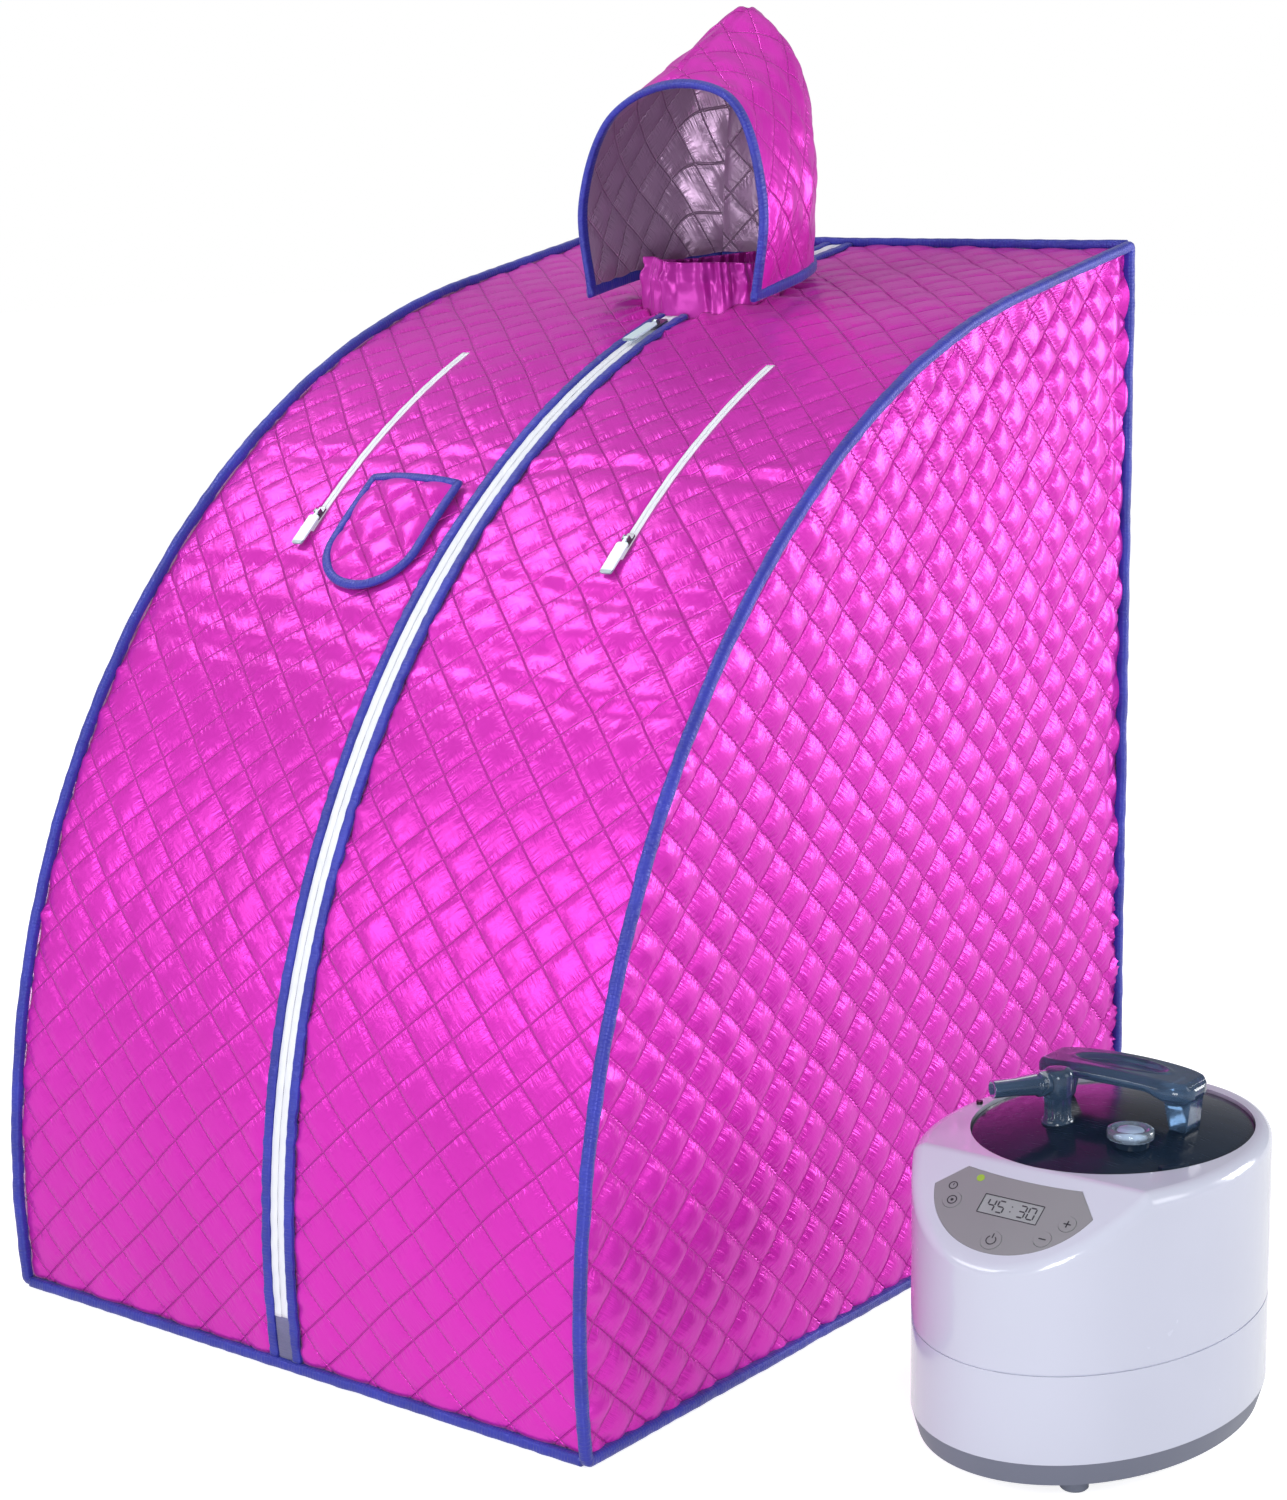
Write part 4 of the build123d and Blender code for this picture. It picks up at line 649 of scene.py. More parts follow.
def coil_row(name, x, sign, first, last, inner, outer, pitch, top, bottom):
    """One row of coil teeth: rounded bars across the tape, from inner to outer, one every pitch."""
    runs = np.arange(first + pitch * (0.5 if sign > 0 else 1.0), last, pitch)
    y, z, ny, nz = (p[:, None] for p in along_front(runs, (top + bottom) / 2))
    t = np.arange(6) * math.pi / 3
    rings = []
    for across, scale in ((inner, 0.55), (inner + 0.0005, 1.0), (outer, 0.9)):
        out = (bottom - top) / 2 * scale * np.sin(t)
        on = pitch * 0.42 * scale * np.cos(t)
        rings.append(np.stack([np.full((len(runs), 6), x + sign * across), y + ny * out + nz * on,
                               z + nz * out - ny * on], -1))
    one = [(r + i, r + (i + 1) % 6, r + 6 + (i + 1) % 6, r + 6 + i) for r in (0, 6) for i in range(6)]
    base = np.arange(len(runs))[:, None, None] * 18
    faces = (base + np.array(one)).reshape(-1, 4).tolist()
    faces += (base[:, 0] + np.arange(6)).tolist() + (base[:, 0] + np.arange(17, 11, -1)).tolist()
    piece = mesh_piece(name, np.stack(rings, 1).reshape(-1, 3), faces, zip_coil, "tent")
    if sign > 0:
        piece.data.flip_normals()


def zip_half(name, x, sign, first, last, tape_out, coil_out, pitch, node=None):
    """One tape with its row of teeth."""
    runs = steps(first, last)
    tape_in = 0.0001
    centre, side, up = slope_frame(runs, x + sign * (tape_in + tape_out) / 2, depth=0.0014)
    wave = 0.00025 * ripple(runs, runs * 0, 0.02, 420 + sign)
    piece = sweep(f"{name}_tape", centre + up * wave[:, None], side, up,
                  round_bar((tape_out - tape_in) / 2, 0.0005, 8, 5.0), zip_white, "tent")
    if node:
        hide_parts(node)
    coil_row(f"{name}_teeth", x, sign, first + 0.001, last - 0.001, tape_in - 0.0002, coil_out, pitch, 0.0019,
             0.0040)


for label, first, last in (("front", PATCH_TOP_RUN, FRONT_END - 0.002),
                           ("rear", REAR_START + 0.002, REAR_END)):
    for sign, hand in ((1, "right"), (-1, "left")):
        zip_half(f"centre_zip_{label}_{hand}", 0.0, sign, first, last, TAPE_HALF - 0.0001, 0.0040, 0.0020,
                 "main_zip" if label == "front" and sign > 0 else None)

patch_grey = webbing("grey_nylon_webbing", "#77769a", gloss=0.6, metal=0.0, stitch_pitch=0.0026)
runs = steps(FOOT_Z, PATCH_TOP_RUN + 0.0005, size=0.002)
piece = sweep("zip_foot_patch", *slope_frame(runs, 0.0, depth=0.0030), round_bar(TAPE_HALF, 0.0023, 14, 5.0),
              patch_grey, "tent")
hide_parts("zip_patch")

# ---------------------------------------------------------------- arm zips
# A narrow white coil zip in each front panel, sewn in along the arm's slit and closed, with its slider at
# the foot.
for sign, label in ((1, "right"), (-1, "left")):
    for hand in (1, -1):
        edge = "outer" if hand == sign else "inner"
        zip_half(f"arm_zip_{label}_{edge}", sign * ARM_X, hand, ARM_LOW, ARM_HIGH, 0.0048, 0.0026, 0.0016,
                 f"arm_zip_{label}" if hand > 0 else None)


# ---------------------------------------------------------------- zip sliders and pulls
# Cast zinc sliders, run along the coils. The pulls are pale moulded plates with a grey grip at the free end.
def dress(material, *nodes):
    """Gives CAD nodes a finish."""
    for node in nodes:
        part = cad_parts[node]
        if not part.material_slots:
            part.data.materials.append(material)
        for place in part.material_slots:
            place.material = material


def moulded(name, colour, rough=0.4, grain=900.0, depth=0.00006, uneven=0.04, **more):
    """Moulded plastic or cast metal: a fine grain, slight unevenness of shade, and a few duller patches."""
    material, tree, place = paint(name)
    fine = add(tree, "TexNoise", Vector=place, Scale=grain, Detail=2.0)
    broad = add(tree, "TexNoise", Vector=place, Scale=14.0, Detail=4.0)
    dull = add(tree, "MapRange", Value=broad, p1=0.3, p2=0.75, p3=rough * 0.85, p4=rough * 1.2)
    bump = add(tree, "Bump", Strength=0.35, Distance=depth, Height=fine)
    show(tree, add(tree, "BsdfPrincipled", Base_Color=dye(tree, colour, broad, 1 - uneven, 1 + uneven),
                   Roughness=dull, Normal=bump, **more))
    return material


# as cast and tumbled: grey metal with a soft shine
zinc = moulded("cast_zinc_slider", "#85868c", rough=0.34, grain=500.0, Metallic=0.9)
dress(zinc, "main_slider", "arm_slider_left", "arm_slider_right")
# moulded acetal: pale, smooth and half glossy, dyed grey at the grip
pull_plastic, tree, place = paint("pale_pull_with_grey_grip")
split = add(tree, "SeparateXYZ", Vector=add(tree, "TexCoord").outputs["Generated"])
fine = add(tree, "TexNoise", Vector=place, Scale=700.0, Detail=2.0)
band = add(tree, "MapRange", SOFT_STEP, Value=split.outputs[2], p1=0.10, p2=0.16, p3=0.0, p4=1.0)
shade = add(tree, "Mix", {"data_type": "RGBA"}, Factor=band, p6=tint("#8fa3ac"), p7=tint("#e2f6fb"))
show(tree, add(tree, "BsdfPrincipled", Base_Color=shade.outputs[2], Roughness=0.28,
               Normal=add(tree, "Bump", Strength=0.3, Distance=0.00005, Height=fine)))
dress(pull_plastic, "main_pull", "arm_pull_left", "arm_pull_right")

# ---------------------------------------------------------------- pocket
# A quilted patch pocket beside the centre zip, straight at its open mouth and round below, bound all the way
# round in blue.
POCKET_ROUND = POCKET_HALF * 0.9
POCKET_BAND = 0.0045
POCKET_FOOT = -POCKET_LENGTH / 2


def pocket_half(t, inset):
    """Half width of the pocket at a distance t above its middle."""
    below = np.clip((POCKET_FOOT + POCKET_ROUND - t) / (POCKET_ROUND - inset), 0, 0.9985)
    return (POCKET_HALF - inset) * np.sqrt(1 - below ** 2)


def pocket_place(a, b, drop=0.0):
    """The pocket's points and outward directions: flat where it is sewn on, standing off at its mouth."""
    y, z, ny, nz = along_front(POCKET_RUN + b)
    share = np.clip((b - POCKET_FOOT) / POCKET_LENGTH, 0, 1)
    lift = 0.0040 + 0.0056 * share ** 2.2 * (1 - (a / POCKET_HALF) ** 2) - drop
    out = np.stack([a * 0, ny, nz], -1)
    return np.stack([POCKET_X + a, y, z], -1) + out * lift[..., None], out


def pocket_rise(a, b, u, v):
    """Puffed diamonds that flatten into the binding."""
    edge = np.minimum(pocket_half(b, POCKET_BAND) - np.abs(a), POCKET_LENGTH / 2 - POCKET_BAND - np.abs(b))
    h = 0.0044 * puff(u, v, 61) + 0.0008 * ripple(a, b, 0.05, 62)
    return h * (1 - np.exp(-np.maximum(edge, 0) / 0.006)) - 0.0010


levels = POCKET_FOOT + POCKET_BAND
levels = levels + (POCKET_LENGTH - 2 * POCKET_BAND) * (1 - np.cos(np.linspace(0.05, math.pi / 2, 60)))
share = np.linspace(-1, 1, 56)
grid_t = np.repeat(levels[:, None], len(share), 1)
grid_s = share[None, :] * pocket_half(levels, POCKET_BAND)[:, None]
cloth = wall("pocket_cloth", grid_s, grid_t, pocket_place, pocket_rise, 0.0020, "tent", (61, (0.012, 0.004)))
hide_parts("pocket_patch")

bend = POCKET_FOOT + POCKET_ROUND
t = np.concatenate([np.linspace(POCKET_LENGTH / 2 - POCKET_BAND, bend, 30)[:-1],
                    bend - (POCKET_ROUND - POCKET_BAND) * np.sin(np.linspace(0, math.pi / 2, 44))])
s = pocket_half(t, POCKET_BAND)
s[-1] = 0
edge_s = np.concatenate([s, -s[::-1][1:], np.linspace(-s[0], s[0], 40)[1:-1]])
edge_t = np.concatenate([t, t[::-1][1:], np.full(38, t[0])])
centre, up = pocket_place(edge_s, edge_t, drop=0.0014)
side = unit(np.cross(np.roll(centre, -1, 0) - np.roll(centre, 1, 0), up))
piece = sweep("pocket_edge_binding", centre, side, up, round_bar(0.0047, 0.0028, 16, 3.0), blue_binding,
              "tent", loop=True)
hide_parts("pocket_binding")

# ---------------------------------------------------------------- neck collar
# A single strip of satin drawn up round the neck by an elastic in its top hem, in close uneven folds.
COLLAR_FOOT_Z = 0.9045
COLLAR_TOP_Z = 0.977
COLLAR_RADIUS = 0.0745
COLLAR_ROWS = 30
turn = np.linspace(0, 2 * math.pi, 421)[:-1]
warp = turn + 0.10 * np.sin(3 * turn + 1.0) + 0.05 * np.sin(7 * turn)
folds = 0.55 * np.sin(19 * warp) + 0.30 * np.sin(11 * warp + 0.8) + 0.25 * np.sin(31 * warp + 2.0)
share = np.linspace(0, 1, COLLAR_ROWS)[:, None]
# the hem dips at the front and wavers round the neck
top_z = COLLAR_TOP_Z - 0.004 * (1 + np.sin(turn * 2 + 2.2))
top_z = top_z - 0.006 * np.exp(-((turn - 1.5 * math.pi) / 0.5) ** 2)
height = COLLAR_FOOT_Z + (top_z - COLLAR_FOOT_Z) * share
radius = COLLAR_RADIUS - 0.0070 * np.clip((height - 0.934) / 0.046, 0, 1)
radius = radius + 0.0030 * np.exp(-((share - 0.72) / 0.12) ** 2)
# the folds start above the seam and are pressed small where the elastic holds the hem
held = 1 - 0.45 * np.exp(-((share - 0.86) / 0.05) ** 2)
swing = 0.0012 + 0.0046 * np.clip((height - 0.922) / 0.03, 0, 1) * held
radius = radius + swing * (folds[None, :] + 0.35 * np.sin(47 * warp + 5 * share) * share)
outside, inside = (np.stack([r * np.cos(turn), NECK_Y + r * np.sin(turn), height], -1)
                   for r in (radius + 0.0006, radius - 0.0006))
n = radius.size
number = np.arange(n).reshape(radius.shape)
after = np.roll(number, -1, 1)
sheet = np.stack([number[:-1], after[:-1], after[1:], number[1:]], -1).reshape(-1, 4)
faces = np.concatenate([sheet, sheet[:, ::-1] + n,
                        np.stack([number[-1], after[-1], after[-1] + n, number[-1] + n], -1),
                        np.stack([after[0], number[0], number[0] + n, after[0] + n], -1)])
flat = np.stack([np.tile(turn * 0.11, (COLLAR_ROWS, 1)), np.tile(share * 0.08, (1, len(turn)))], -1)
flat = flat.reshape(-1, 2)
# unquilted satin in close folds, duller than on the panels, with painted shade: its colour is darker than the
# panels' satin for the shadow the hood casts on it
shaded_collar_satin = satin("magenta_satin_gathered_shaded", "#b0289c", gloss=0.34, metal=0.25, quilted=False)
collar = mesh_piece("gathered_neck_collar", np.concatenate([outside, inside]).reshape(-1, 3), faces,
                    shaded_collar_satin, "tent", maps={"seams": np.tile(flat, (2, 1))})
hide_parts("neck_collar")
cloth = outside * 0.5 + inside * 0.5

# ---------------------------------------------------------------- hood
# A quilted hood that stands behind the neck opening, lined with foil cloth, seamed along its ridge, and
# bound in blue round the face and along the hem.
HOOD_FRONT = 0.145
HOOD_BACK = 0.310
HOOD_LOW = CREST_POINT[1] + (HOOD_FRONT - CREST_POINT[0]) * math.tan(CREST) + 0.011
HOOD_BULGE = 0.004
STATIONS = np.array([
    # share of depth, half width at the hem, half width at the cheeks, ridge above the front of the hem
    (0.00, 0.104, 0.114, 0.209),
    (0.30, 0.104, 0.112, 0.240),
    (0.60, 0.098, 0.103, 0.269),
    (0.85, 0.080, 0.080, 0.288),
    (1.00, 0.056, 0.050, 0.272),
])


def glide(x, xs, ys):
    """A smooth curve through given points, value by value."""
    slopes = np.gradient(ys, xs, axis=0)
    i = np.clip(np.searchsorted(xs, x) - 1, 0, len(xs) - 2)
    h = xs[i + 1] - xs[i]
    t = (x - xs[i]) / h
    if np.ndim(ys) > 1:
        h, t = h[:, None], t[:, None]
    a, b = ys[i], ys[i + 1]
    return ((2 * t - 3) * t * t + 1) * a + (t * (t - 1) ** 2) * h * slopes[i] + (3 - 2 * t) * t * t * b \
        + (t * t * (t - 1)) * h * slopes[i + 1]


def hood_arch(hem, cheek, ridge, low, front, samples):
    """One section of the hood, from the hem at -X over the ridge to the hem at +X, as x and z."""
    rise = ridge - low
    half = [(hem, low), (cheek, low + rise * 0.45), (cheek * 0.60, low + rise * 0.84)]
    points = np.array([(-x, z) for x, z in half] + [(0, ridge)] + half[::-1])
    # towards the face the cloth is fuller above the cheeks, and more so on the right
    points[4] += (0.004 * front, 0.022 * front)
    points[2] += (-0.004 * front, 0.006 * front)
    chord = np.concatenate([[0], np.cumsum(np.linalg.norm(np.diff(points, axis=0), axis=1))])
    arch = glide(np.linspace(0, chord[-1], samples), chord, points)
    return arch, (np.linspace(0, 1, samples) - 0.5) * chord[-1]


ARCH = 121
RINGS = 48
REAR_RINGS = 26
rows, flat_rows = [], []
depth = HOOD_BACK - HOOD_FRONT
for share in np.linspace(0, 1, RINGS):
    hem, cheek, ridge = glide(np.array([share]), STATIONS[:, 0], STATIONS[:, 1:])[0]
    low = HOOD_LOW + share * depth * math.tan(CREST)
    arch, across = hood_arch(hem, cheek, HOOD_LOW + ridge, low, (1 - share) ** 3, ARCH)
    rows.append(np.stack([arch[:, 0], np.full(ARCH, HOOD_FRONT + share * depth), arch[:, 1]], -1))
    flat_rows.append(np.stack([across, np.full(ARCH, share * depth * 1.35)], -1))
last = rows[-1]
for k in np.cos(np.concatenate([[0.004], np.linspace(0, math.pi / 2 * 0.985, REAR_RINGS)[1:]])):
    row = last * (k, 1, 1)
    row[:, 2] = last[0, 2] + (last[:, 2] - last[0, 2]) * k
    row[:, 1] = HOOD_BACK + HOOD_BULGE * math.sqrt(1 - k * k)
    rows.append(row)
    flat_rows.append(np.stack([row[:, 0], row[:, 2] - last[0, 2] + 0.3], -1))
hood_points, hood_flat = np.array(rows), np.array(flat_rows)
# nothing is loose where the cloth is held in a binding or in the seam round the rear wall
hood_behind = np.arange(len(rows))[:, None] + np.zeros(ARCH, int) >= RINGS
to_hem = np.linalg.norm(hood_points - hood_points[:, :1], axis=2)
to_hem = np.minimum(to_hem, to_hem[:, ::-1])
to_face = np.linalg.norm(hood_points - hood_points[:1], axis=2)
to_seam = np.linalg.norm(hood_points - hood_points[RINGS - 1:RINGS], axis=2)
hood_loose = 1 - np.exp(-(np.minimum(to_hem, to_face) / 0.012) ** 2) - 0.8 * np.exp(-(to_seam / 0.010) ** 2)
hood_loose = np.clip(hood_loose, 0, 1)
hood_normals = unit(np.cross(np.gradient(hood_points, axis=1), np.gradient(hood_points, axis=0)))
if hood_normals[5, ARCH // 2, 2] < 0:
    hood_normals = -hood_normals


def hood_place(a, b):
    """The hood's points and outward directions, worked out above."""
    return hood_points, hood_normals


def hood_rise(a, b, u, v):
    """Puffs, a pinched ridge seam and long slack folds down the sides."""
    h = 0.0022 * puff(u, v, 91) - 0.0012
    h += 0.0030 * ripple(a * 0.35, b, 0.10, 92) + 0.0010 * ripple(a, b, 0.045, 93)
    h += 0.0016 * ripple(a * 0.3, b * 1.4, 0.05, 94)
    seam = np.abs(a + 0.004 * np.sin(b * 30))
    h += 0.0014 * np.exp(-((seam - 0.006) / 0.004) ** 2) - 0.0026 * np.exp(-(seam / 0.0022) ** 2)
    h = np.minimum(h, np.where(hood_behind, 0.0010, 0.01))
    return np.maximum(h * hood_loose - 0.0004, -0.0022)


hood = wall("hood_quilted_cloth", hood_flat[..., 0], hood_flat[..., 1], hood_place, hood_rise, 0.0030, "hood",
            quilting=(91, (0.01, 0.02)), deep=0.0042 * hood_loose)
over, back = hood_points[3, 61] - hood_points[3, 60], hood_points[4, 60] - hood_points[3, 60]
if np.cross(over, back) @ hood_normals[3, 60] < 0:
    hood.data.flip_normals()
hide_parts("hood_shell")

HOOD_TAPE_IN = 0.0048
inward = unit(hood_points[2] - hood_points[0])
bar = round_bar(0.0056, 0.0036, 18, 3.2) + (0, -0.0016)
piece = sweep("hood_face_binding", hood_points[0] + inward * HOOD_TAPE_IN, inward, hood_normals[0], bar,
              blue_binding, "hood")
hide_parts("hood_binding")
hem_line = np.concatenate([hood_points[:, 0], hood_points[::-1, -1][1:]])
rise_line = unit(np.concatenate([hood_points[:, 2] - hood_points[:, 0],
                                 (hood_points[:, -3] - hood_points[:, -1])[::-1][1:]]))
out_line = np.concatenate([hood_normals[:, 0], hood_normals[::-1, -1][1:]])
gap = np.concatenate([[1], np.linalg.norm(np.diff(hem_line, axis=0), axis=1)])
keep = gap > 0.0004
middle_rows = np.abs(hem_line[:, 0]) < 0.012
rise_line[middle_rows] = (0, 0, 1)
out_line[middle_rows] = (0, 1, 0)
hem_line, rise_line, out_line = hem_line[keep], rise_line[keep], out_line[keep]
out_line = unit(out_line - rise_line * np.sum(out_line * rise_line, axis=1)[:, None])
piece = sweep("hood_hem_binding", hem_line + rise_line * HOOD_TAPE_IN, rise_line, out_line, bar, blue_binding,
              "hood")

# a flat tab from the roof up to the hood's rear hem, on which the hood turns
t = np.linspace(0, 1, 24)
tab_y = 0.331 - 0.0215 * t
tab_z = CREST_POINT[1] + (tab_y - CREST_POINT[0]) * math.tan(CREST) + 0.0020
tab_z += 0.0105 * np.clip((t - 0.35) / 0.65, 0, 1) ** 1.5
centre = np.stack([t * 0, tab_y, tab_z], -1)
forward = unit(np.gradient(centre, axis=0))
tab_up = unit(np.cross(forward, (1.0, 0, 0)))
tab_up *= np.sign(tab_up[:, 2:3])
piece = sweep("hood_rear_tab", centre, (1.0, 0, 0), tab_up, round_bar(0.030, 0.0005, 22, 6.0), blue_binding,
              "tent")
# it bends between the two bodies, so it hangs on neither
piece.parent = None
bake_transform(piece)
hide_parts("hood_tab")

# ---------------------------------------------------------------- hose port and pole frame
# A black plastic grommet low in the back wall, and inside the cover a frame of glass fibre rods, pushed
# together in steel ferrules and moulded nylon corners, and held to the cloth by sewn loops.
# moulded nylon: matt black, pebbled
dress(moulded("black_nylon_moulding", "#1b1b1f", rough=0.5, grain=1100.0), "steam_port", "front_corners",
      "rear_corners", "roof_corners")
# drawn glass fibre and resin: off white, half matt, streaked
fibreglass, tree, place = paint("pultruded_fibreglass_rod")
strand = add(tree, "TexNoise", Vector=place, Scale=420.0, Detail=3.0, Distortion=1.5)
bump = add(tree, "Bump", Strength=0.2, Distance=0.0001, Height=strand)
show(tree, add(tree, "BsdfPrincipled", Base_Color=dye(tree, "#d8d4c4", strand, 0.82, 1.05), Roughness=0.38,
               Normal=bump))
dress(fibreglass, "bow_poles_lower", "bow_poles_middle", "bow_poles_upper", "rear_uprights", "side_rails",
      "cross_rails")
# brushed sheet and tube: bright grey with a clear shine
steel = moulded("brushed_stainless_steel", "#b9bbc0", rough=0.28, grain=260.0, depth=0.00003, Metallic=1.0)
dress(steel, "bow_ferrules", "foot_screws", "tank")
# plain woven tape: matt blue
dress(moulded("blue_loop_cloth", "#2f36a6", rough=0.6, grain=1400.0, depth=0.0002), "pole_loops")

# ---------------------------------------------------------------- steam generator body
# Gloss white two-part housing on a grey skirt, with four rubber feet and a two-pin mains socket behind.
STEAMER = (0.636, -0.108)
# polished moulding: bright wet gloss over the faint waves of the tool, with duller rubbed patches
gloss_white, tree, place = paint("gloss_white_abs")
peel = add(tree, "TexNoise", Vector=place, Scale=130.0, Detail=1.0)
wave = add(tree, "TexNoise", Vector=place, Scale=9.0, Detail=1.0)
scuff = add(tree, "TexNoise", Vector=place, Scale=26.0, Detail=6.0, Roughness=0.7)
bump = add(tree, "Bump", Strength=0.05, Distance=0.0002, Height=peel)
bump = add(tree, "Bump", Strength=0.06, Distance=0.003, Height=wave, Normal=bump)
dull = add(tree, "MapRange", Value=scuff, p1=0.45, p2=0.75, p3=0.16, p4=0.30)
show(tree, add(tree, "BsdfPrincipled", Base_Color=dye(tree, "#c6c9d9", wave, 0.985, 1.01), Roughness=dull,
               Coat_Weight=0.35, Coat_Roughness=0.06, Normal=bump))
dress(gloss_white, "lower_housing", "upper_housing")
# textured moulding, matt rubber, shiny black plastic and rough cast metal
dress(moulded("slate_grey_abs", "#6d7182", rough=0.45, grain=800.0), "base_tray")
dress(moulded("grey_foot_rubber", "#6b7080", rough=0.75, grain=500.0, depth=0.0001), "feet")
dress(moulded("black_gloss_plastic", "#101116", rough=0.3), "power_inlet", "lock_pin")
dress(moulded("cast_aluminium", "#a5a7aa", rough=0.5, grain=380.0, depth=0.0002, Metallic=1.0), "heater",
      "thermostat")
# lacquered board: two greens, crossed by lighter tracks
board_green, tree, place = paint("green_circuit_board")
track = add(tree, "TexBrick", Vector=place, Color1=tint("#16583a"), Color2=tint("#1b6a45"),
            Mortar=tint("#2f8a5c"), Scale=130.0, Mortar_Size=0.08)
show(tree, add(tree, "BsdfPrincipled", Base_Color=track, Roughness=0.4))
dress(board_green, "control_board")

# ---------------------------------------------------------------- control face
# A grey membrane with a liquid crystal window, a green lamp and printed signs on its keys.
SLOPE = math.radians(35.0)
FACE_START = Vector((STEAMER[0], STEAMER[1] - 0.104, 0.255))
FACE_DOWN = Vector((0, -math.cos(SLOPE), -math.sin(SLOPE)))
FACE_OUT = Vector((0, -math.sin(SLOPE), math.cos(SLOPE)))
# printed polyester film: flat mid grey with a fine silky grain
dress(moulded("grey_membrane_film", "#86878b", rough=0.42, grain=1500.0, depth=0.00004, uneven=0.02),
      "control_panel", "button_power", "button_mode", "button_minus", "button_plus")
# the display's glass: grey, even, with a clear reflection
glass_grey, tree, place = paint("liquid_crystal_window")
haze = add(tree, "TexNoise", Vector=place, Scale=60.0, Detail=2.0)
show(tree, add(tree, "BsdfPrincipled", Base_Color=dye(tree, "#979b9e", haze, 0.95, 1.03), Roughness=0.22,
               Coat_Weight=0.5, Coat_Roughness=0.05))
dress(glass_grey, "lcd_window")
# cut clear lens: yellow green, sparkling, faintly lit
green_lens, tree, place = paint("green_lamp_lens")
cut = add(tree, "TexVoronoi", Vector=place, Scale=900.0)
bump = add(tree, "Bump", Strength=0.4, Distance=0.0001, Height=cut)
show(tree, add(tree, "BsdfPrincipled", Base_Color=tint("#9db84a"), Roughness=0.25, Transmission_Weight=0.3,
               Emission_Color=tint("#b5e04a"), Emission_Strength=0.12, Normal=bump))
dress(green_lens, "led_lamp")
# screen ink: near black and matt
ink = moulded("dark_printed_ink", "#2e2f36", rough=0.5, grain=2000.0, depth=0.00001)


def print_on_face(name, outlines, proud, body, thick=0.00012):
    """Flat signs on the control face: closed outlines in metres across and down it, raised like thick ink."""
    verts, faces = [], []
    for points in outlines:
        base, k = len(verts), len(points)
        for lift in (0.0, thick):
            verts += [tuple(FACE_START + Vector((x, 0, 0)) + FACE_DOWN * down + FACE_OUT * (proud + lift))
                      for x, down in points]
        faces += [tuple(base + k + i for i in range(k)), tuple(base + i for i in reversed(range(k)))]
        faces += [(base + i, base + (i + 1) % k, base + k + (i + 1) % k, base + k + i) for i in range(k)]
    return mesh_piece(name, verts, faces, ink, body, smooth=False)


def dash(x, down, half, wide, angle=0.0):
    """A bar with pointed ends, centred at a place, at an angle from across."""
    c, s = math.cos(angle), math.sin(angle)
    flat = half - wide
    shape = [(-half, 0), (-flat, -wide), (flat, -wide), (half, 0), (flat, wide), (-flat, wide)]
    return [(x + p * c - q * s, down + p * s + q * c) for p, q in shape]


def ring(x, down, radius, wide, start=0.0, sweep_angle=2 * math.pi, pieces=20):
    """A ring or an arc, as short straight quads."""
    found = []
    for i in range(pieces):
        a, b = (start + sweep_angle * (i + k) / pieces for k in (0, 1.02))
        low, high = radius - wide, radius + wide
        found.append([(x + r * math.cos(t), down + r * math.sin(t))
                      for r, t in ((low, a), (high, a), (high, b), (low, b))])
    return found


SEGMENTS = {"0": "abcdef", "3": "abcdg", "4": "bcfg", "5": "acdfg"}


def digit(sign, x, down, high=0.0115, wide=0.0062):
    """A seven-segment figure, its middle at a place."""
    h, w, t = high / 2, wide / 2, 0.00065
    across = {"a": -h, "g": 0.0, "d": h}
    upright = {"f": (-w, -h / 2), "b": (w, -h / 2), "e": (-w, h / 2), "c": (w, h / 2)}
    bars = [dash(x, down + across[k], w - 0.0004, t) for k in SEGMENTS[sign] if k in across]
    return bars + [dash(x + upright[k][0], down + upright[k][1], h / 2 - 0.0003, t, math.pi / 2)
                   for k in SEGMENTS[sign] if k in upright]


DISPLAY_DOWN = 0.044
figures = [bar for sign, x in (("4", -0.0165), ("5", -0.0075), ("3", 0.0125), ("0", 0.0215))
           for bar in digit(sign, x, DISPLAY_DOWN)]
figures += [dash(0.0025, DISPLAY_DOWN + off, 0.0008, 0.0007) for off in (-0.0025, 0.0025)]
print_on_face("display_figures", figures, -0.00028, "steam_generator")
frame_lines = [dash(0.002, down, 0.0280, 0.0004) for down in (0.0346, 0.0535)]
frame_lines += [dash(x, DISPLAY_DOWN, 0.0096, 0.0004, math.pi / 2) for x in (-0.0258, 0.0298)]
print_on_face("display_frame_print", frame_lines, 0.00002, "steam_generator")
signs = {
    "power": ring(0.0, 0.077, 0.0042, 0.0005, -math.pi / 2 + 0.6, 2 * math.pi - 1.2)
    + [dash(0, 0.0727, 0.0026, 0.0005, math.pi / 2)],
    "mode": ring(-0.052, 0.048, 0.0040, 0.0005)
    + [dash(-0.052, 0.048, 0.0016, 0.0006, k * math.pi / 3) for k in range(3)],
    "minus": [dash(0.042, 0.065, 0.0036, 0.0006)],
    "plus": [dash(0.056, 0.046, 0.0036, 0.0006, angle) for angle in (0.0, math.pi / 2)],
}
for key, outlines in signs.items():
    print_on_face(f"{key}_key_sign", outlines, 0.00041, f"button_{key}_body")
clock = ring(-0.058, 0.034, 0.0036, 0.0005) + [dash(-0.058, 0.0330, 0.0014, 0.0004, math.pi / 2)]
print_on_face("timer_sign", clock, 0.00002, "steam_generator")

# ---------------------------------------------------------------- lid, handle, steam outlet and relief valve
# Smoked transparent mouldings: a shallow domed lid with a broad bridge handle, a ribbed elbow with its hose
# nozzle and a clear round valve cap.
LID = (STEAMER[0], STEAMER[1] + 0.033)
LID_HALF = (0.116, 0.134)
LID_EDGE_Z = 0.252
LID_RISE = 0.016


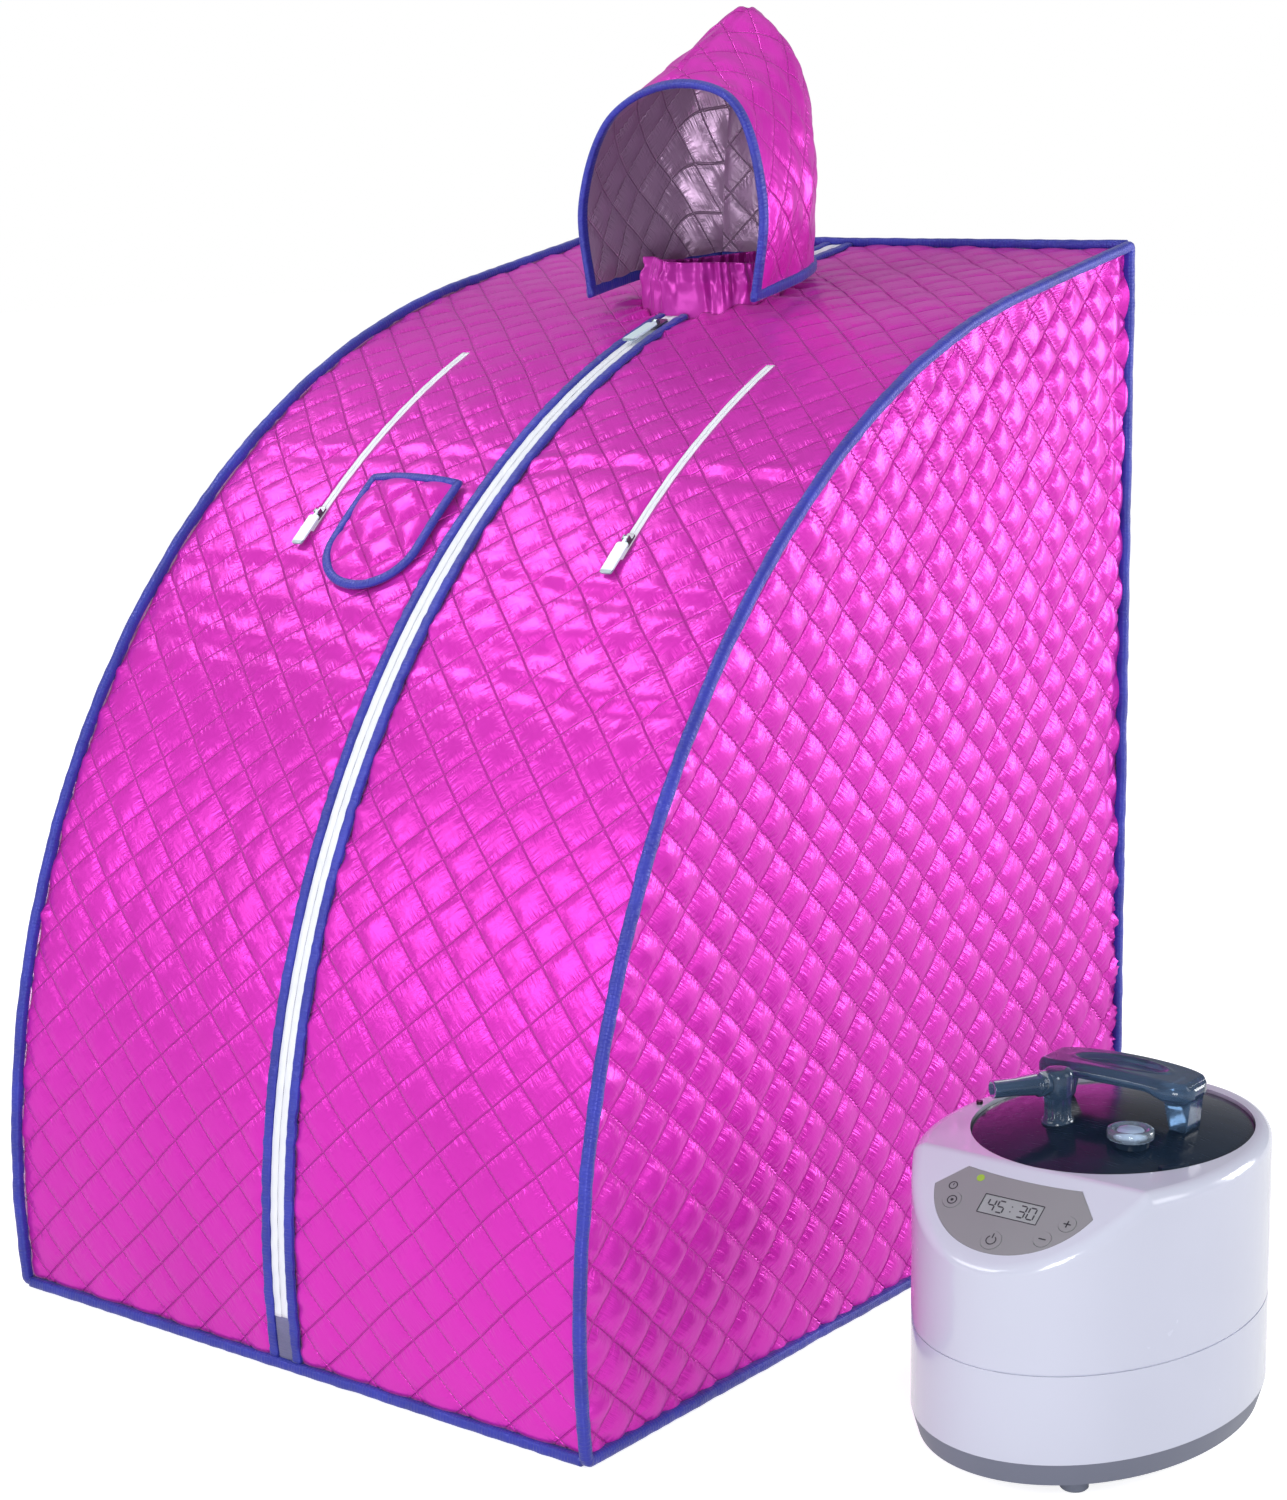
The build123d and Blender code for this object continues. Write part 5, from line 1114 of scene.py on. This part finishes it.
def smoked(name, colour, clear, rough=0.07, **more):
    """Tinted transparent plastic with flow lines and fine scratches."""
    material, tree, place = paint(name)
    flow = add(tree, "TexNoise", Vector=place, Scale=22.0, Detail=2.0, Distortion=2.0)
    drawn = add(tree, "Mapping", Vector=place, Scale=(40, 900, 400))
    scratch = add(tree, "TexNoise", Vector=drawn, Scale=1.0, Detail=3.0)
    bump = add(tree, "Bump", Strength=0.12, Distance=0.001, Height=flow)
    dull = add(tree, "MapRange", Value=scratch, p1=0.5, p2=0.8, p3=rough, p4=rough * 2.4)
    show(tree, add(tree, "BsdfPrincipled", Base_Color=dye(tree, colour, flow, 0.85, 1.12), Roughness=dull,
                   Transmission_Weight=clear, Normal=bump, **more))
    return material


# deep blue black, only just clear at its edge, and a paler blue one that shows what lies behind
lid_smoke = smoked("dark_smoked_lid", "#1c2b3d", 0.25, rough=0.15, IOR=1.22)
handle_smoke = smoked("blue_smoked_handle", "#4a6380", 0.6, rough=0.10, IOR=1.38)
dress(lid_smoke, "lid")
# cast silicone: milky and soft
dress(moulded("milky_silicone_seal", "#c4c5c2", rough=0.5, grain=300.0), "lid_gasket")


def lid_top(x, y):
    """Height of the lid's outer face at a place from its middle."""
    ball = (0.1 * 0.1 + LID_RISE ** 2) / (2 * LID_RISE)
    r = 0.1 * np.hypot(x / LID_HALF[0], y / LID_HALF[1])
    return LID_EDGE_Z + LID_RISE - ball + np.sqrt(ball * ball - r * r)


def ease(x):
    """A smooth step, level at 0 and at 1."""
    x = np.clip(x, 0, 1)
    return x * x * (3 - 2 * x)


# the handle: a crowned wing with a finger recess, arched below between two splayed feet
HANDLE_HALF = 0.0745
HANDLE_OFF = (0.004, 0.007)
HANDLE_TOP_Z = 0.3098
HANDLE_ARCH_Z = 0.2945
u, w = np.meshgrid(np.linspace(-1, 1, 97), np.linspace(-1, 1, 49))
round_off = (1 - np.abs(u) ** 8) ** 0.5
half_wide = (0.0295 - 0.0045 * np.abs(u) ** 2.5) * (0.35 + 0.65 * round_off)
x = HANDLE_HALF * u
y = half_wide * w
edge = np.minimum(1 - np.abs(w), (1 - np.abs(u)) * 2.4)
top = HANDLE_TOP_Z - 0.0045 * u ** 2 - 0.0052 * (1 - ease(edge / 0.20))
recess = np.hypot(x / 0.040, y / 0.0135)
top -= 0.0042 * ease((1.06 - recess) / 0.16)
top += 0.0008 * np.exp(-((recess - 1.16) / 0.07) ** 2)
ground = lid_top(x + HANDLE_OFF[0], y + HANDLE_OFF[1]) - 0.0004
arch = HANDLE_ARCH_Z + 0.0015 * (1 - u ** 2) - 0.006 * ease((np.abs(u) - 0.45) / 0.3)
foot = ease((np.abs(u) - 0.66) / 0.09) * ease((0.74 - np.abs(w)) / 0.10) * ease((0.97 - np.abs(u)) / 0.05)
bottom = arch + (ground - arch) * foot + 0.0035 * (1 - ease(edge / 0.16)) * (1 - foot)
upper, under = (np.stack([x + LID[0] + HANDLE_OFF[0], y + LID[1] + HANDLE_OFF[1], z], -1).reshape(-1, 3)
                for z in (top, np.minimum(bottom, top - 0.003)))
number = np.arange(u.size).reshape(u.shape)
quads = grid_faces(number).reshape(-1, 4)
rim = np.concatenate([number[0, :-1], number[:-1, -1], number[-1, :0:-1], number[:0:-1, 0]])
after = np.roll(rim, -1)
sides = np.stack([after, rim, rim + u.size, after + u.size], -1)
handle = mesh_piece("lid_bridge_handle", np.concatenate([upper, under]),
                    np.concatenate([quads, quads[:, ::-1] + u.size, sides]), handle_smoke, "lid_set")
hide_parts("lid_handle")


def turned(name, outline, origin, axis, material, body, points=64, lobes=0, lobe_depth=0.0, lobe_span=(0, 0)):
    """A turned piece: an outline of radius and height, closed at both ends, fluted over a span of heights."""
    axis = Vector(axis).normalized()
    first = axis.orthogonal().normalized()
    second = axis.cross(first)
    verts, k = [], len(outline)
    for i in range(points):
        t = 2 * math.pi * i / points
        for radius, high in outline:
            if lobes and lobe_span[0] <= high <= lobe_span[1]:
                radius -= lobe_depth * (0.5 - 0.5 * math.cos(lobes * t))
            off = (first * math.cos(t) + second * math.sin(t)) * radius
            verts.append(tuple(Vector(origin) + axis * high + off))
    faces = [(i * k + j, (i + 1) % points * k + j, (i + 1) % points * k + j + 1, i * k + j + 1)
             for i in range(points) for j in range(k - 1)]
    faces += [tuple(i * k for i in reversed(range(points))), tuple(i * k + k - 1 for i in range(points))]
    return mesh_piece(name, verts, faces, material, body)


OUTLET = (LID[0] - 0.028, LID[1] - 0.046)
post = [(0.0128, 0.2600), (0.0140, 0.2605), (0.0142, 0.2660), (0.0128, 0.2680), (0.0120, 0.2700),
        (0.0118, 0.2860), (0.0124, 0.2875), (0.0130, 0.2890), (0.0130, 0.3060), (0.0122, 0.3092),
        (0.0100, 0.3112), (0.0060, 0.3119), (0.0012, 0.3119)]
piece = turned("steam_elbow_post", post, (*OUTLET, 0), (0, 0, 1), handle_smoke, "lid_set", points=96,
               lobes=12, lobe_depth=0.0014, lobe_span=(0.2690, 0.2865))
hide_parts("steam_outlet")
AIM_OUT = math.radians(236.0)
NOZZLE_Z = 0.300
nozzle = [(0.0010, 0.0100), (0.0060, 0.0110), (0.0060, 0.0618), (0.0068, 0.0620), (0.0078, 0.0614),
          (0.0080, 0.0600), (0.0080, 0.0400), (0.0083, 0.0385), (0.0098, 0.0220), (0.0101, 0.0205),
          (0.0113, 0.0200), (0.0115, 0.0170), (0.0108, 0.0150), (0.0108, 0.0100)]
piece = turned("steam_nozzle", nozzle, (*OUTLET, NOZZLE_Z), (math.cos(AIM_OUT), math.sin(AIM_OUT), 0),
               handle_smoke, "lid_set", points=56)
VALVE = (LID[0] + 0.047, LID[1] - 0.055, 0.267)
cap = [(0.0040, 0.0000), (0.0190, 0.0000), (0.0199, 0.0010), (0.0200, 0.0060), (0.0192, 0.0080),
       (0.0172, 0.0089), (0.0150, 0.0087), (0.0138, 0.0074), (0.0128, 0.0066), (0.0118, 0.0070),
       (0.0100, 0.0082), (0.0060, 0.0089), (0.0008, 0.0090)]
# near colourless, with a clean edge
clear_cap = smoked("clear_valve_cap", "#b9cfe6", 0.8, rough=0.04)
piece = turned("valve_cap", cap, VALVE, (0, 0, 1), clear_cap, "relief_valve_body")
stem = [(0.0006, -0.0185), (0.0065, -0.0184), (0.0069, -0.0180), (0.0069, -0.0168), (0.0064, -0.0165),
        (0.0050, -0.0165), (0.0050, 0.0005), (0.0098, 0.0012), (0.0104, 0.0030), (0.0080, 0.0054),
        (0.0040, 0.0062), (0.0006, 0.0063)]
# smooth white moulding, half gloss, that shows through the cap
valve_core = moulded("white_valve_core", "#e3e9f3", rough=0.25)
piece = turned("valve_stem", stem, VALVE, (0, 0, 1), valve_core, "relief_valve_body", points=40)
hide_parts("relief_valve")
